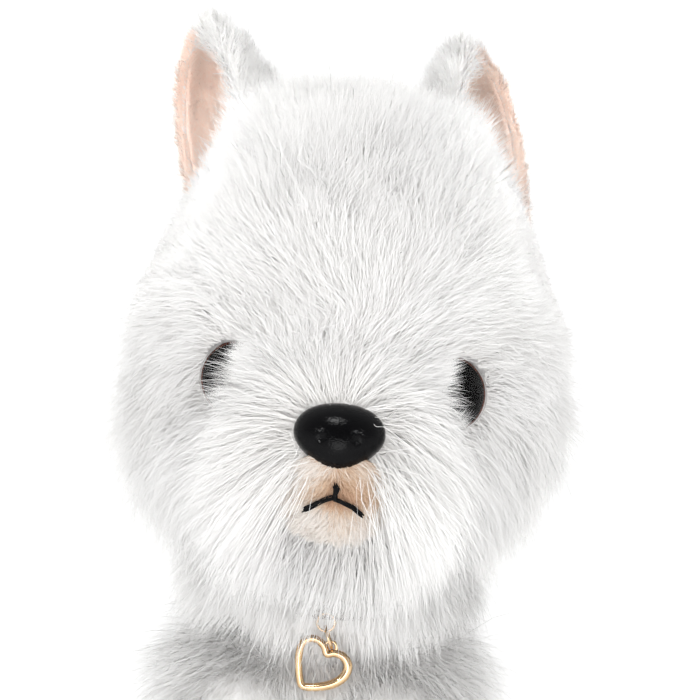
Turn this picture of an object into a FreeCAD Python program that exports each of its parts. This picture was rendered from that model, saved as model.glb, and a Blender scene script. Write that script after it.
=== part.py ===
import FreeCAD, Part
import math
import os
import Sketcher

# A seated plush dog, facing -Y, on a flat seat panel at Z = 0.
# The dog's own left side is +X. Sizes are in millimetres and angles in degrees.

SIZES = [
    ("skin_wall", 5, "backing and laid pile of the head and torso"),
    ("limb_wall", 3.5, "backing and laid pile of legs, tail and neck"),
    ("fit_gap", 0.4, "gap between pieces that move against each other"),
    ("fill_gap", 0.3, "gap between a filling and the skin round it"),
    ("head_radius", 53, "round of the skull"),
    ("head_y", -6, "skull centre"),
    ("head_z", 175, "skull centre"),
    ("muzzle_radius", 22, "round of the muzzle"),
    ("muzzle_y", -48, "muzzle centre"),
    ("muzzle_z", 146, "muzzle centre"),
    ("neck_radius", 27, "ball of the neck, about which the head turns and nods"),
    ("neck_y", -7, "neck centre"),
    ("neck_z", 112, "neck centre"),
    ("neck_band", 15, "half height of the neck skin"),
    ("chest_radius", 36, "round of the chest"),
    ("chest_y", 1, "chest centre"),
    ("chest_z", 70, "chest centre"),
    ("rump_radius", 40, "round of the rump"),
    ("rump_y", 12, "rump centre"),
    ("rump_z", 28, "rump centre"),
    ("rump_half_width", 30.4, "flat sides of the rump, beside the thighs"),
    ("panel_radius", 28, "seat panel"),
    ("panel_thick", 2, "seat panel"),
    ("bag_radius", 20, "bean bag in the seat"),
    ("bag_height", 18, "bean bag in the seat"),
    ("bag_base", 8, "underside of the bean bag"),
    ("bag_wall", 1, "cloth of the bean bag"),
    ("bag_round", 6, "rounded rim of the bean bag"),
    ("shoulder_x", 18, "front leg, top"),
    ("shoulder_y", -26, "front leg, top"),
    ("shoulder_z", 76, "front leg, top"),
    ("shoulder_radius", 13, "front leg, top"),
    ("paw_x", 16, "front leg, foot"),
    ("paw_y", -51, "front leg, foot"),
    ("paw_z", 12.8, "front leg, foot"),
    ("paw_radius", 12.4, "front leg, foot"),
    ("toe_reach", 9, "how far the front toes stand before the foot"),
    ("toe_radius", 11.6, "front toes"),
    ("toe_z", 12, "front toes"),
    ("front_leg_back", 8, "backward swing of a front leg"),
    ("front_leg_forward", 30, "forward swing of a front leg"),
    ("swing_spare", 1, "extra swing of the room cut for a front leg"),
    ("hip_y", 8, "hind leg, turning point"),
    ("hip_z", 27, "hind leg, turning point"),
    ("thigh_radius", 25, "hind leg, round thigh"),
    ("thigh_inner_x", 31.5, "inner face of the thigh"),
    ("thigh_thick", 21, "thigh, across"),
    ("thigh_round", 12, "outer rim of the thigh"),
    ("foot_x", 44.6, "hind foot, middle line"),
    ("foot_z", 13.2, "hind foot, middle line"),
    ("foot_heel_radius", 12, "hind foot, heel"),
    ("foot_toe_radius", 12.8, "hind foot, toes"),
    ("foot_heel_y", 0, "hind foot, heel"),
    ("foot_toe_y", -58, "hind foot, toes"),
    ("tail_y", 57, "tail root"),
    ("tail_z", 36, "tail root"),
    ("tail_root_radius", 8, "tail root"),
    ("tail_tip_radius", 5, "tail tip"),
    ("tail_rise", 38, "tail tip above its root"),
    ("tail_sweep", 15, "tail tip behind its root"),
    ("ear_x", 37, "ear root, from the middle plane"),
    ("ear_y", 4, "ear root"),
    ("ear_root_radius", 7, "ball of the ear root"),
    ("ear_clear", 4.5, "gap between the ear's rim and the skull"),
    ("ear_low", -8, "lower end of the ear cup, below the root"),
    ("ear_wide_at", 18, "widest place of the ear, above the root"),
    ("ear_half_width", 16, "ear cup"),
    ("ear_low_half_width", 12.5, "ear cup, lower end"),
    ("ear_shoulder_at", 35, "where the ear's side turns into its tip"),
    ("ear_shoulder_half_width", 10, "ear cup, at that turn"),
    ("ear_length", 42.5, "ear tip above the root"),
    ("ear_wall", 3, "furry back of the ear"),
    ("lining_wall", 1.5, "ear lining"),
    ("lining_tuck", 1.6, "lower edge of the lining, inside the cup's widest place"),
    ("ear_floor_at", 5.5, "floor that joins the cup to its root"),
    ("ear_facing", 52, "how far the ear's hollow looks out from straight ahead"),
    ("ear_lean", -12, "both ears lean to the dog's right"),
    ("eye_x", 26.5, "eye, from the middle plane"),
    ("eye_z", 162, "eye height"),
    ("eye_facing", 24, "how far the eye looks out from straight ahead"),
    ("eye_radius", 9, "clear cap of the eye"),
    ("eye_dome", 4.6, "top of the cap above the pile"),
    ("eye_rim", 1.2, "cap rim below the pile"),
    ("eye_sink", 3, "back of the eye below the pile"),
    ("room_past", 1, "how far a room is cut past the piece that it is for"),
    ("iris_radius", 8.6, "iris disc"),
    ("iris_thick", 0.8, "iris disc"),
    ("pupil_radius", 6.6, "pupil disc"),
    ("pupil_thick", 0.6, "pupil disc"),
    ("eye_cavity", 8.8, "hollow in the back of the cap"),
    ("shank_radius", 1.9, "eye shank"),
    ("shank_length", 9, "eye shank"),
    ("washer_radius", 5.8, "eye washer"),
    ("washer_thick", 1.2, "eye and nose washers"),
    ("washer_gap", 0.2, "between a shank and its washer"),
    ("washer_depth", 2.6, "eye washer, behind the skin's inner face"),
    ("nose_half_width", 10.7, "nose"),
    ("nose_half_height", 7.6, "nose"),
    ("nose_depth", 7.6, "nose"),
    ("nose_tilt", 14, "the nose looks up by this much"),
    ("nose_seat", 19.6, "back of the nose, from the muzzle centre"),
    ("nose_shank_radius", 2.6, "nose shank"),
    ("nose_shank_length", 7, "nose shank"),
    ("nose_washer_radius", 7, "nose washer"),
    ("nose_washer_seat", 15.1, "front of the nose washer, from the muzzle centre"),
    ("patch_gap", 0.3, "between the muzzle and its patch"),
    ("patch_thick", 1.7, "short-pile patch on the muzzle"),
    ("patch_spread", 31, "half angle of the patch"),
    ("patch_drop", 27, "middle of the patch, below level"),
    ("thread_radius", 0.55, "embroidery thread bundle"),
    ("mouth_fork", -20, "where the mouth line forks"),
    ("mouth_stem", 8, "angle of the mouth's stem"),
    ("mouth_arm", 19, "angle of each arm of the mouth"),
    ("mouth_spread", 62, "each arm, from straight down"),
    ("stem_gap", 1.5, "angle between the fork and the stem"),
    ("arm_gap", 2.5, "angle between the fork and each arm"),
    ("toe_stitch", 38, "angle of a toe stitch"),
    ("toe_stitch_top", 42, "upper end of a toe stitch, above level"),
    ("toe_stitch_turn", 24, "angle between toe stitches"),
    ("collar_gap", 0.9, "between the neck and the collar"),
    ("collar_thick", 1.4, "collar strap"),
    ("collar_height", 8, "collar strap"),
    ("collar_base", 103.5, "lower edge of the collar"),
    ("buckle_width", 11, "buckle frame, along the strap"),
    ("buckle_height", 11, "buckle frame"),
    ("buckle_thick", 1.6, "buckle frame"),
    ("buckle_bar", 1.5, "bars of the buckle frame"),
    ("loop_radius", 2.2, "loop below the collar"),
    ("loop_wire", 0.35, "loop below the collar"),
    ("loop_drop", 0.5, "loop centre below the collar edge"),
    ("ring_radius", 2.7, "jump ring"),
    ("ring_wire", 0.4, "jump ring"),
    ("link_play", 0.35, "room between linked wires"),
    ("eyelet_radius", 1.55, "eyelet on the charm"),
    ("eyelet_wire", 0.45, "eyelet on the charm"),
    ("heart_lobe", 3.9, "round of each lobe of the heart"),
    ("heart_split", 3.5, "centre of each lobe, from the middle"),
    ("heart_drop", 9.2, "point of the heart, below the lobe centres"),
    ("heart_point_share", 1.4, "bar at the point, against the bar elsewhere"),
    ("heart_side_round", 14, "curve of the heart's sides"),
    ("heart_tilt", 32, "lean of the heart from upright"),
    ("ring_lean", 20, "lean of the jump ring under the lopsided charm"),
    ("heart_bar", 1.7, "bar of the heart"),
    ("heart_thick", 1.5, "heart, front to back"),
    ("label_width", 10, "care label"),
    ("label_length", 15, "care label"),
    ("label_thick", 0.6, "care label"),
    ("label_x", -15, "care label"),
    ("label_z", 0.8, "care label"),
    ("seam_stitch", 7, "angle of a closing stitch"),
    ("seam_pitch", 5, "angle between closing stitches"),
    ("seam_start", 8, "first closing stitch, below the middle of the rump"),
    ("seam_count", 5, "closing stitches"),
]


class Size:
    """A cell of the sheet, or a formula over cells, with its present value."""

    def __init__(self, text, value):
        self.text = text
        self.value = float(value)

    def __float__(self):
        return self.value

    def joined(self, sign, other, value):
        other_text = other.text if isinstance(other, Size) else str(other)
        return Size("(" + self.text + " " + sign + " " + other_text + ")", value)

    def __add__(self, other):
        return self.joined("+", other, self.value + float(other))

    def __sub__(self, other):
        return self.joined("-", other, self.value - float(other))

    def __mul__(self, other):
        return self.joined("*", other, self.value * float(other))

    def __truediv__(self, other):
        return self.joined("/", other, self.value / float(other))

    def __neg__(self):
        return Size("(0 - " + self.text + ")", -self.value)


def filled_sheet(document):
    """The sheet of driving dimensions, and every size by its name."""
    table = document.addObject("Spreadsheet::Sheet", "Sizes")
    by_name = {}
    for row, (alias, value, note) in enumerate(SIZES, start=1):
        table.set("A" + str(row), note)
        table.set("B" + str(row), str(value))
        table.setAlias("B" + str(row), alias)
        by_name[alias] = Size("Sizes." + alias, value)
    document.recompute()
    return by_name


doc = FreeCAD.newDocument("plush_dog")
dim = filled_sheet(doc)
ZERO = Size("0", 0)
WHOLE_TURN = Size("360", 360)
UPWARD = FreeCAD.Vector(0, 0, 1)
DIGITS = 9
SIDES = (("left", 1), ("right", -1))
finished = []


def bind(item, prop, size):
    """Bind one property to the sheet."""
    item.setExpression(prop, size.text)


def place(item, spot, turn=None):
    """Put an item at a spot of three sizes, with an optional rotation."""
    base = FreeCAD.Vector(*[float(part) for part in spot])
    item.Placement = FreeCAD.Placement(base, turn or FreeCAD.Rotation())
    for letter, part in zip("xyz", spot):
        bind(item, "Placement.Base." + letter, part)
    return item


def keep(item, label):
    """Count an item as a finished sub-part under its label."""
    item.Label = label
    finished.append(item)
    return item


def spot(x, y, z, side=1):
    """A place of three sizes, mirrored where the side is -1."""
    return (x if side > 0 else -x, y, z)


def aimed(azimuth, elevation):
    """Rotation that turns +Z to look ahead, out to the left by azimuth and up by elevation."""
    swing = FreeCAD.Rotation(UPWARD, azimuth)
    return swing.multiply(FreeCAD.Rotation(FreeCAD.Vector(1, 0, 0), 90 - elevation))


# Plain shapes, with their sizes bound to the sheet


def ball(radius, centre):
    item = doc.addObject("Part::Sphere", "ball")
    bind(item, "Radius", radius)
    return place(item, centre)


def rod(radius, length, base, turn=None):
    item = doc.addObject("Part::Cylinder", "rod")
    bind(item, "Radius", radius)
    bind(item, "Height", length)
    return place(item, base, turn)


def block(length, width, height, corner, turn=None):
    item = doc.addObject("Part::Box", "block")
    bind(item, "Length", length)
    bind(item, "Width", width)
    bind(item, "Height", height)
    return place(item, corner, turn)


def wire_arc(radius, wire, sweep, centre, turn=None):
    """A round wire bent to an arc about its centre, starting on its own X axis."""
    item = doc.addObject("Part::Torus", "wire_arc")
    bind(item, "Radius1", radius)
    bind(item, "Radius2", wire)
    bind(item, "Angle3", sweep)
    return place(item, centre, turn)


def fused(*pieces):
    item = doc.addObject("Part::MultiFuse", "fused")
    item.Shapes = list(pieces)
    return item


def shared(first, second):
    item = doc.addObject("Part::Common", "shared")
    item.Base = first
    item.Tool = second
    return item


def without(base, *tools):
    """The base with each tool cut out of it."""
    for tool in tools:
        item = doc.addObject("Part::Cut", "without")
        item.Base = base
        item.Tool = tool
        base = item
    return base


def grouped(pieces):
    item = doc.addObject("Part::Compound", "grouped")
    item.Links = pieces
    return item


def moved_copy(item, placement):
    """A linked copy of a shape that is turned about a joint."""
    copy = doc.addObject("Part::Compound", "moved")
    copy.Links = [item]
    copy.Placement = placement
    return copy


def tapered_limb(first, first_radius, second, second_radius):
    """Two balls and the cone between them."""
    start = FreeCAD.Vector(*[float(part) for part in first])
    end = FreeCAD.Vector(*[float(part) for part in second])
    span = end - start
    gaps = [after - before for before, after in zip(first, second)]
    squares = [gap * gap for gap in gaps]
    total = squares[0] + squares[1] + squares[2]
    cone = doc.addObject("Part::Cone", "cone")
    bind(cone, "Radius1", first_radius)
    bind(cone, "Radius2", second_radius)
    bind(cone, "Height", Size("sqrt(" + total.text + ")", math.sqrt(total.value)))
    place(cone, first, FreeCAD.Rotation(UPWARD, span))
    return fused(ball(first_radius, first), cone, ball(second_radius, second))


# Sketched bodies


def origin_plane(body, role):
    return next(item for item in body.Origin.OriginFeatures if item.Role == role)


def arc_between(first, second, radius):
    """The short arc of one radius from first to second; a negative radius turns clockwise.

    Returns the arc, and whether it runs backwards from second to first."""
    chord = second - first
    half = chord.Length / 2
    across = FreeCAD.Vector(-chord.y, chord.x, 0).normalize()
    offset = math.sqrt(max(radius * radius - half * half, 0))
    centre = first + chord * 0.5 + across * math.copysign(offset, radius)
    circle = Part.Circle(centre, UPWARD, abs(radius))
    clockwise = radius < 0
    start, end = (second, first) if clockwise else (first, second)
    start_angle = math.atan2(start.y - centre.y, start.x - centre.x)
    end_angle = math.atan2(end.y - centre.y, end.x - centre.x)
    return Part.ArcOfCircle(circle, start_angle, end_angle), clockwise


def pin_corner(sketch, edge, end, values):
    """Hold one corner of an outline at its two sizes from the sketch's origin."""
    for kind, axis, value in (("DistanceX", -2, values[0]), ("DistanceY", -1, values[1])):
        if round(float(value), DIGITS) == 0:
            sketch.addConstraint(Sketcher.Constraint("PointOnObject", edge, end, axis))
            continue
        if float(value) > 0:
            rule = Sketcher.Constraint(kind, -1, 1, edge, end, float(value))
            index = sketch.addConstraint(rule)
            bind(sketch, "Constraints[" + str(index) + "]", value)
            continue
        rule = Sketcher.Constraint(kind, edge, end, -1, 1, -float(value))
        index = sketch.addConstraint(rule)
        bind(sketch, "Constraints[" + str(index) + "]", -value)


def outline_sketch(body, role, corners):
    """A closed outline. Each corner is two sizes, and a third is the radius of the arc that leads to it."""
    sketch = body.newObject("Sketcher::SketchObject", "outline")
    sketch.AttachmentSupport = [(origin_plane(body, role), "")]
    sketch.MapMode = "FlatFace"
    points = [FreeCAD.Vector(float(corner[0]), float(corner[1]), 0) for corner in corners]
    edges = []
    for index, corner in enumerate(corners):
        first = points[index - 1]
        second = points[index]
        if len(corner) == 2:
            edge = sketch.addGeometry(Part.LineSegment(first, second))
            edges.append((edge, 1, 2))
            continue
        arc, backwards = arc_between(first, second, float(corner[2]))
        edge = sketch.addGeometry(arc)
        edges.append((edge, 2, 1) if backwards else (edge, 1, 2))
    for index, (edge, near, _) in enumerate(edges):
        before = edges[index - 1]
        sketch.addConstraint(Sketcher.Constraint("Coincident", before[0], before[2], edge, near))
    for (edge, _, far), corner in zip(edges, corners):
        pin_corner(sketch, edge, far, corner)
        if len(corner) == 3:
            size = corner[2] if float(corner[2]) > 0 else -corner[2]
            rule = sketch.addConstraint(Sketcher.Constraint("Radius", edge, float(size)))
            bind(sketch, "Constraints[" + str(rule) + "]", size)
    return sketch


def new_body(label):
    body = doc.addObject("PartDesign::Body", label)
    body.Label = label
    return body


def turned_body(label, corners, angle=360):
    """A body turned about its own Z axis, from corners of radius and height."""
    body = new_body(label)
    sketch = outline_sketch(body, "XZ_Plane", corners)
    turning = body.newObject("PartDesign::Revolution", "turning")
    turning.Profile = sketch
    turning.ReferenceAxis = (sketch, ["V_Axis"])
    turning.Angle = angle
    return body


def padded_body(label, corners, height):
    """A flat body with an outline of X and Y corners and a thickness along Z."""
    body = new_body(label)
    pad = body.newObject("PartDesign::Pad", "pad")
    pad.Profile = outline_sketch(body, "XY_Plane", corners)
    bind(pad, "Length", height)
    return body


def ring_outline(inner, outer, base, height):
    """Section of a flat ring or washer."""
    return [(inner, base), (outer, base), (outer, base + height), (inner, base + height)]


# Places that several sub-parts share

HEAD = (ZERO, dim["head_y"], dim["head_z"])
MUZZLE = (ZERO, dim["muzzle_y"], dim["muzzle_z"])
NECK = (ZERO, dim["neck_y"], dim["neck_z"])
CHEST = (ZERO, dim["chest_y"], dim["chest_z"])
RUMP = (ZERO, dim["rump_y"], dim["rump_z"])
TAIL = (ZERO, dim["tail_y"], dim["tail_z"])
TAIL_TIP = (ZERO, dim["tail_y"] + dim["tail_sweep"], dim["tail_z"] + dim["tail_rise"])
NOSE_TURN = aimed(0, float(dim["nose_tilt"]))


def ear_spot(side):
    """Root of an ear, on the round of the skull."""
    rise = Size(
        "sqrt(Sizes.head_radius ^ 2 - Sizes.ear_x ^ 2 - (Sizes.ear_y - Sizes.head_y) ^ 2)",
        math.sqrt(
            float(dim["head_radius"]) ** 2
            - float(dim["ear_x"]) ** 2
            - (float(dim["ear_y"]) - float(dim["head_y"])) ** 2
        ),
    )
    return spot(dim["ear_x"], dim["ear_y"], dim["head_z"] + rise, side)


def ear_turn(side):
    """The ear stands up, leans to one side and its hollow looks outwards."""
    lean = FreeCAD.Rotation(FreeCAD.Vector(0, 1, 0), float(dim["ear_lean"]))
    return lean.multiply(FreeCAD.Rotation(UPWARD, side * float(dim["ear_facing"])))


def eye_spot(side):
    """Middle of an eye, on the round of the skull."""
    depth = Size(
        "sqrt(Sizes.head_radius ^ 2 - Sizes.eye_x ^ 2 - (Sizes.head_z - Sizes.eye_z) ^ 2)",
        math.sqrt(
            float(dim["head_radius"]) ** 2
            - float(dim["eye_x"]) ** 2
            - (float(dim["head_z"]) - float(dim["eye_z"])) ** 2
        ),
    )
    return spot(dim["eye_x"], dim["head_y"] - depth, dim["eye_z"], side)


def along(centre, turn, distance):
    """A place at a distance from a centre along a turned Z axis, as three sizes."""
    axis = turn.multVec(UPWARD)
    return tuple(part + distance * round(step, DIGITS) for part, step in zip(centre, tuple(axis)))


def shoulder_spot(side):
    return spot(dim["shoulder_x"], dim["shoulder_y"], dim["shoulder_z"], side)


def front_leg_form(side, inset):
    """Outer form of a front leg, drawn in by an inset."""
    ankle = spot(dim["paw_x"], dim["paw_y"], dim["paw_z"], side)
    toes = spot(dim["paw_x"], dim["paw_y"] - dim["toe_reach"], dim["toe_z"], side)
    shin = tapered_limb(shoulder_spot(side), dim["shoulder_radius"] - inset, ankle, dim["paw_radius"] - inset)
    paw = tapered_limb(ankle, dim["paw_radius"] - inset, toes, dim["toe_radius"] - inset)
    return fused(shin, paw)


def front_leg_room(side):
    """The room that a front leg needs in the chest: at rest, swung back and swung forward."""
    resting = front_leg_form(side, -dim["fit_gap"])
    centre = FreeCAD.Vector(*[float(part) for part in shoulder_spot(side)])
    back = float(dim["front_leg_back"] + dim["swing_spare"])
    forward = float(dim["front_leg_forward"] + dim["swing_spare"])
    rooms = [resting]
    for angle in (back, -forward / 2, -forward):
        swing = FreeCAD.Rotation(FreeCAD.Vector(1, 0, 0), angle)
        rooms.append(moved_copy(resting, FreeCAD.Placement(FreeCAD.Vector(), swing, centre)))
    return rooms


def torso_form(inset):
    """Chest and rump, flattened beside the thighs, drawn in by an inset."""
    body = fused(ball(dim["chest_radius"] - inset, CHEST), ball(dim["rump_radius"] - inset, RUMP))
    half = dim["rump_half_width"] - inset
    reach = dim["rump_radius"] * 3
    top = dim["hip_z"] + dim["thigh_radius"] + dim["fit_gap"] + inset
    low = top - reach
    near = dim["rump_y"] - reach / 2
    left_side = block(reach, reach, reach, (half, near, low))
    right_side = block(reach, reach, reach, (-half - reach, near, low))
    return without(body, left_side, right_side)


def below(height):
    """Everything under a height."""
    reach = dim["rump_radius"] * 4
    return block(reach, reach, dim["rump_radius"], (-reach / 2, -reach / 2, height - dim["rump_radius"]))


def torso_openings():
    """What the torso makes room for: the neck, the front legs and the tail."""
    rooms = [ball(dim["neck_radius"] + dim["fit_gap"], NECK)]
    for _, side in SIDES:
        rooms.extend(front_leg_room(side))
    rooms.append(ball(dim["tail_root_radius"] + dim["fit_gap"], TAIL))
    return rooms


def cushion(label, inset):
    """A round flat cushion with a rounded rim, drawn in by an inset."""
    outer = dim["bag_radius"] - inset
    low = ZERO + inset
    high = dim["bag_height"] - inset
    curve = dim["bag_round"]
    corners = [
        (ZERO, low),
        (outer - curve, low),
        (outer, low + curve, curve),
        (outer, high - curve),
        (outer - curve, high, curve),
        (ZERO, high),
    ]
    body = turned_body(label, corners)
    return place(body, (ZERO, dim["rump_y"], dim["bag_base"]))


# Sub-parts


def make_torso():
    """Skin, stuffing, seat panel and the bean bag with its pellets."""
    seat = dim["panel_thick"] + dim["fill_gap"]
    shell = without(torso_form(ZERO), torso_form(dim["skin_wall"]), below(seat), *torso_openings())
    keep(shell, "torso_skin")

    bag_room = rod(dim["bag_radius"] + dim["fill_gap"], dim["bag_height"] + dim["fill_gap"] * 2,
                   (ZERO, dim["rump_y"], dim["bag_base"] - dim["fill_gap"]))
    filling = without(torso_form(dim["skin_wall"] + dim["fill_gap"]), below(seat + dim["fill_gap"]),
                      bag_room, *torso_openings())
    keep(filling, "torso_stuffing")

    keep(rod(dim["panel_radius"], dim["panel_thick"], (ZERO, dim["rump_y"], ZERO)), "seat_panel")

    inner = dim["bag_wall"] + dim["fill_gap"]
    keep(without(cushion("bean_bag_outside", ZERO), cushion("bean_bag_inside", dim["bag_wall"])), "bean_bag")
    keep(cushion("bean_pellets", inner), "bean_pellets")


def make_closing_stitches():
    """A short row of hand stitches below the tail."""
    reach = dim["rump_radius"] + dim["thread_radius"]
    stitches = []
    for step in range(int(float(dim["seam_count"]))):
        fall = float(dim["seam_start"] + dim["seam_pitch"] * step)
        rise = FreeCAD.Rotation(FreeCAD.Vector(1, 0, 0), -fall)
        start = FreeCAD.Rotation(UPWARD, 90 - float(dim["seam_stitch"]) / 2)
        stitch = wire_arc(reach, dim["thread_radius"], dim["seam_stitch"], RUMP, rise.multiply(start))
        stitches.append(stitch)
    keep(grouped(stitches), "closing_stitches")


def make_care_label():
    """A blank cloth label, sewn into the edge of the seat and lying behind it."""
    behind = dim["rump_y"] + dim["panel_radius"]
    label = block(dim["label_width"], dim["label_length"], dim["label_thick"],
                  (dim["label_x"] - dim["label_width"] / 2, behind, dim["label_z"]))
    keep(label, "care_label")


def make_neck():
    """The neck, a stuffed ball between chest and head."""
    wall = dim["limb_wall"]
    reach = dim["neck_radius"] * 2
    band = block(reach, reach, dim["neck_band"] * 2,
                 (-dim["neck_radius"], dim["neck_y"] - dim["neck_radius"], dim["neck_z"] - dim["neck_band"]))
    shell = without(ball(dim["neck_radius"], NECK), ball(dim["neck_radius"] - wall, NECK))
    keep(shared(shell, band), "neck_skin")
    keep(ball(dim["neck_radius"] - wall - dim["fill_gap"], NECK), "neck_stuffing")


def head_form(inset):
    """Skull and muzzle, drawn in by an inset."""
    return fused(ball(dim["head_radius"] - inset, HEAD), ball(dim["muzzle_radius"] - inset, MUZZLE))


def nose_dome(extra):
    """The front half of the nose, grown by an extra."""
    item = doc.addObject("Part::Ellipsoid", "nose_dome")
    bind(item, "Radius1", dim["nose_depth"] + extra)
    bind(item, "Radius2", dim["nose_half_width"] + extra)
    bind(item, "Radius3", dim["nose_half_height"] + extra)
    item.Angle1 = 0
    return place(item, along(MUZZLE, NOSE_TURN, dim["nose_seat"]), NOSE_TURN)


def face_rod(centre, turn, radius, near, far):
    """A rod along the axis of an eye or the nose, between two distances from its centre."""
    return rod(radius, far - near, along(centre, turn, near), turn)


def eye_rods(side):
    """Seat, shank hole and washer room of one eye."""
    centre = eye_spot(side)
    turn = aimed(side * float(dim["eye_facing"]), 0)
    seat = face_rod(centre, turn, dim["eye_radius"] + dim["fill_gap"],
                    -dim["eye_sink"] - dim["fill_gap"], dim["eye_radius"])
    hole = face_rod(centre, turn, dim["shank_radius"] + dim["washer_gap"],
                    -dim["eye_sink"] - dim["shank_length"] - dim["room_past"], dim["eye_radius"])
    back = face_rod(centre, turn, dim["washer_radius"] + dim["fill_gap"],
                    -dim["eye_sink"] - dim["shank_length"] - dim["room_past"], -dim["eye_sink"])
    return seat, hole, back


def make_head():
    """Head skin and stuffing, with seats for the neck, ears, eyes and nose."""
    nose_seat = dim["nose_seat"] - dim["fill_gap"]
    nose_flat = face_rod(MUZZLE, NOSE_TURN, dim["nose_half_width"] + dim["fit_gap"], nose_seat,
                         dim["muzzle_radius"] + dim["room_past"] * 2)
    shank_end = dim["nose_seat"] - dim["nose_shank_length"] - dim["room_past"]
    nose_hole = face_rod(MUZZLE, NOSE_TURN, dim["nose_shank_radius"] + dim["washer_gap"],
                         shank_end, dim["muzzle_radius"])
    nose_back = face_rod(MUZZLE, NOSE_TURN, dim["nose_washer_radius"] + dim["fill_gap"],
                         shank_end, dim["muzzle_radius"] - dim["skin_wall"])
    skin_cuts = [ball(dim["neck_radius"] + dim["fit_gap"], NECK), nose_flat, nose_hole]
    fill_cuts = [ball(dim["neck_radius"] + dim["fit_gap"], NECK), nose_back]
    for _, side in SIDES:
        seat, hole, back = eye_rods(side)
        root = ball(dim["ear_root_radius"] + dim["fit_gap"], ear_spot(side))
        skin_cuts.extend([seat, hole, root])
        fill_cuts.extend([back, root])
    keep(without(head_form(ZERO), head_form(dim["skin_wall"]), *skin_cuts), "head_skin")
    keep(without(head_form(dim["skin_wall"] + dim["fill_gap"]), *fill_cuts), "head_stuffing")


def make_nose():
    """The plastic nose with its shank, and the washer that locks it behind the skin."""
    shank = face_rod(MUZZLE, NOSE_TURN, dim["nose_shank_radius"],
                     dim["nose_seat"] - dim["nose_shank_length"], dim["nose_seat"] + dim["room_past"])
    keep(fused(nose_dome(ZERO), shank), "nose")
    washer = turned_body("nose_washer", ring_outline(
        dim["nose_shank_radius"] + dim["washer_gap"], dim["nose_washer_radius"], ZERO, dim["washer_thick"]))
    behind = dim["nose_washer_seat"] - dim["washer_thick"]
    keep(place(washer, along(MUZZLE, NOSE_TURN, behind), NOSE_TURN), "nose_washer")


def make_eye(name, side):
    """Clear cap, pupil, iris with its shank, and the washer behind the skin."""
    centre = eye_spot(side)
    turn = aimed(side * float(dim["eye_facing"]), 0)
    back = -dim["eye_sink"]
    iris_top = dim["iris_thick"]
    pupil_low = iris_top + dim["washer_gap"] / 2
    pupil_top = pupil_low + dim["pupil_thick"]
    ceiling = pupil_top + dim["washer_gap"] / 2
    rim = dim["eye_sink"] - dim["eye_rim"]
    cap_top = dim["eye_sink"] + dim["eye_dome"]
    cap = turned_body(name + "_eye_cap", [
        (ZERO, ceiling),
        (dim["eye_cavity"], ceiling),
        (dim["eye_cavity"], ZERO),
        (dim["eye_radius"], ZERO),
        (dim["eye_radius"], rim),
        (ZERO, cap_top, dome_round(dim["eye_radius"], cap_top - rim)),
    ])
    keep(place(cap, along(centre, turn, back), turn), name + "_eye_cap")
    pupil = turned_body(name + "_eye_pupil", [
        (ZERO, pupil_low),
        (dim["pupil_radius"], pupil_low),
        (dim["pupil_radius"], pupil_top),
        (ZERO, pupil_top),
    ])
    keep(place(pupil, along(centre, turn, back), turn), name + "_eye_pupil")
    iris = turned_body(name + "_eye_iris", [
        (ZERO, -dim["shank_length"]),
        (dim["shank_radius"], -dim["shank_length"]),
        (dim["shank_radius"], ZERO),
        (dim["iris_radius"], ZERO),
        (dim["iris_radius"], iris_top),
        (ZERO, iris_top),
    ])
    keep(place(iris, along(centre, turn, back), turn), name + "_eye_iris")
    washer = turned_body(name + "_eye_washer", ring_outline(
        dim["shank_radius"] + dim["washer_gap"], dim["washer_radius"], ZERO, dim["washer_thick"]))
    inside = -dim["skin_wall"] - dim["washer_thick"] - dim["washer_depth"]
    keep(place(washer, along(centre, turn, inside), turn), name + "_eye_washer")


def make_muzzle_patch():
    """A cap of short pile on the front of the muzzle, cut away round the nose."""
    inner = dim["muzzle_radius"] + dim["patch_gap"]
    outer = inner + dim["patch_thick"]
    spread = math.radians(float(dim["patch_spread"]))
    near = Size("(" + inner.text + " * sin(Sizes.patch_spread * 1 deg))", float(inner) * math.sin(spread))
    near_up = Size("(" + inner.text + " * cos(Sizes.patch_spread * 1 deg))", float(inner) * math.cos(spread))
    wide = Size("(" + outer.text + " * sin(Sizes.patch_spread * 1 deg))", float(outer) * math.sin(spread))
    wide_up = Size("(" + outer.text + " * cos(Sizes.patch_spread * 1 deg))", float(outer) * math.cos(spread))
    cap = turned_body("muzzle_patch_cap", [
        (ZERO, inner),
        (near, near_up, -inner),
        (wide, wide_up),
        (ZERO, outer, outer),
    ])
    place(cap, MUZZLE, aimed(0, -float(dim["patch_drop"])))
    keep(without(cap, nose_dome(dim["fill_gap"])), "muzzle_patch")


def lying_arc(centre, radius, sweep, aim, swing, start):
    """A thread on a ball: it starts near where the aim looks and runs down, or is swung from there."""
    falling = FreeCAD.Rotation(UPWARD, FreeCAD.Vector(0, -1, 0), FreeCAD.Vector(1, 0, 0), "XYZ")
    turn = aim.multiply(FreeCAD.Rotation(UPWARD, swing)).multiply(falling)
    return wire_arc(radius, dim["thread_radius"], sweep, centre, turn.multiply(FreeCAD.Rotation(UPWARD, start)))


def make_mouth():
    """Embroidered mouth: a stem below the nose that forks into two arms."""
    reach = dim["muzzle_radius"] + dim["patch_gap"] + dim["patch_thick"] + dim["thread_radius"]
    fork = aimed(0, float(dim["mouth_fork"]))
    arm_swing = float(dim["mouth_spread"])
    arm_gap = float(dim["arm_gap"])
    stem = lying_arc(MUZZLE, reach, dim["mouth_stem"], fork, 180, float(dim["stem_gap"]))
    lines = [stem]
    for swing in (arm_swing, -arm_swing):
        lines.append(lying_arc(MUZZLE, reach, dim["mouth_arm"], fork, swing, arm_gap))
    keep(grouped(lines), "mouth_stitches")


def dome_round(radius, rise):
    """Radius of the ball whose cap has this edge radius and this rise."""
    return (radius * radius + rise * rise) / (rise * 2)


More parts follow.
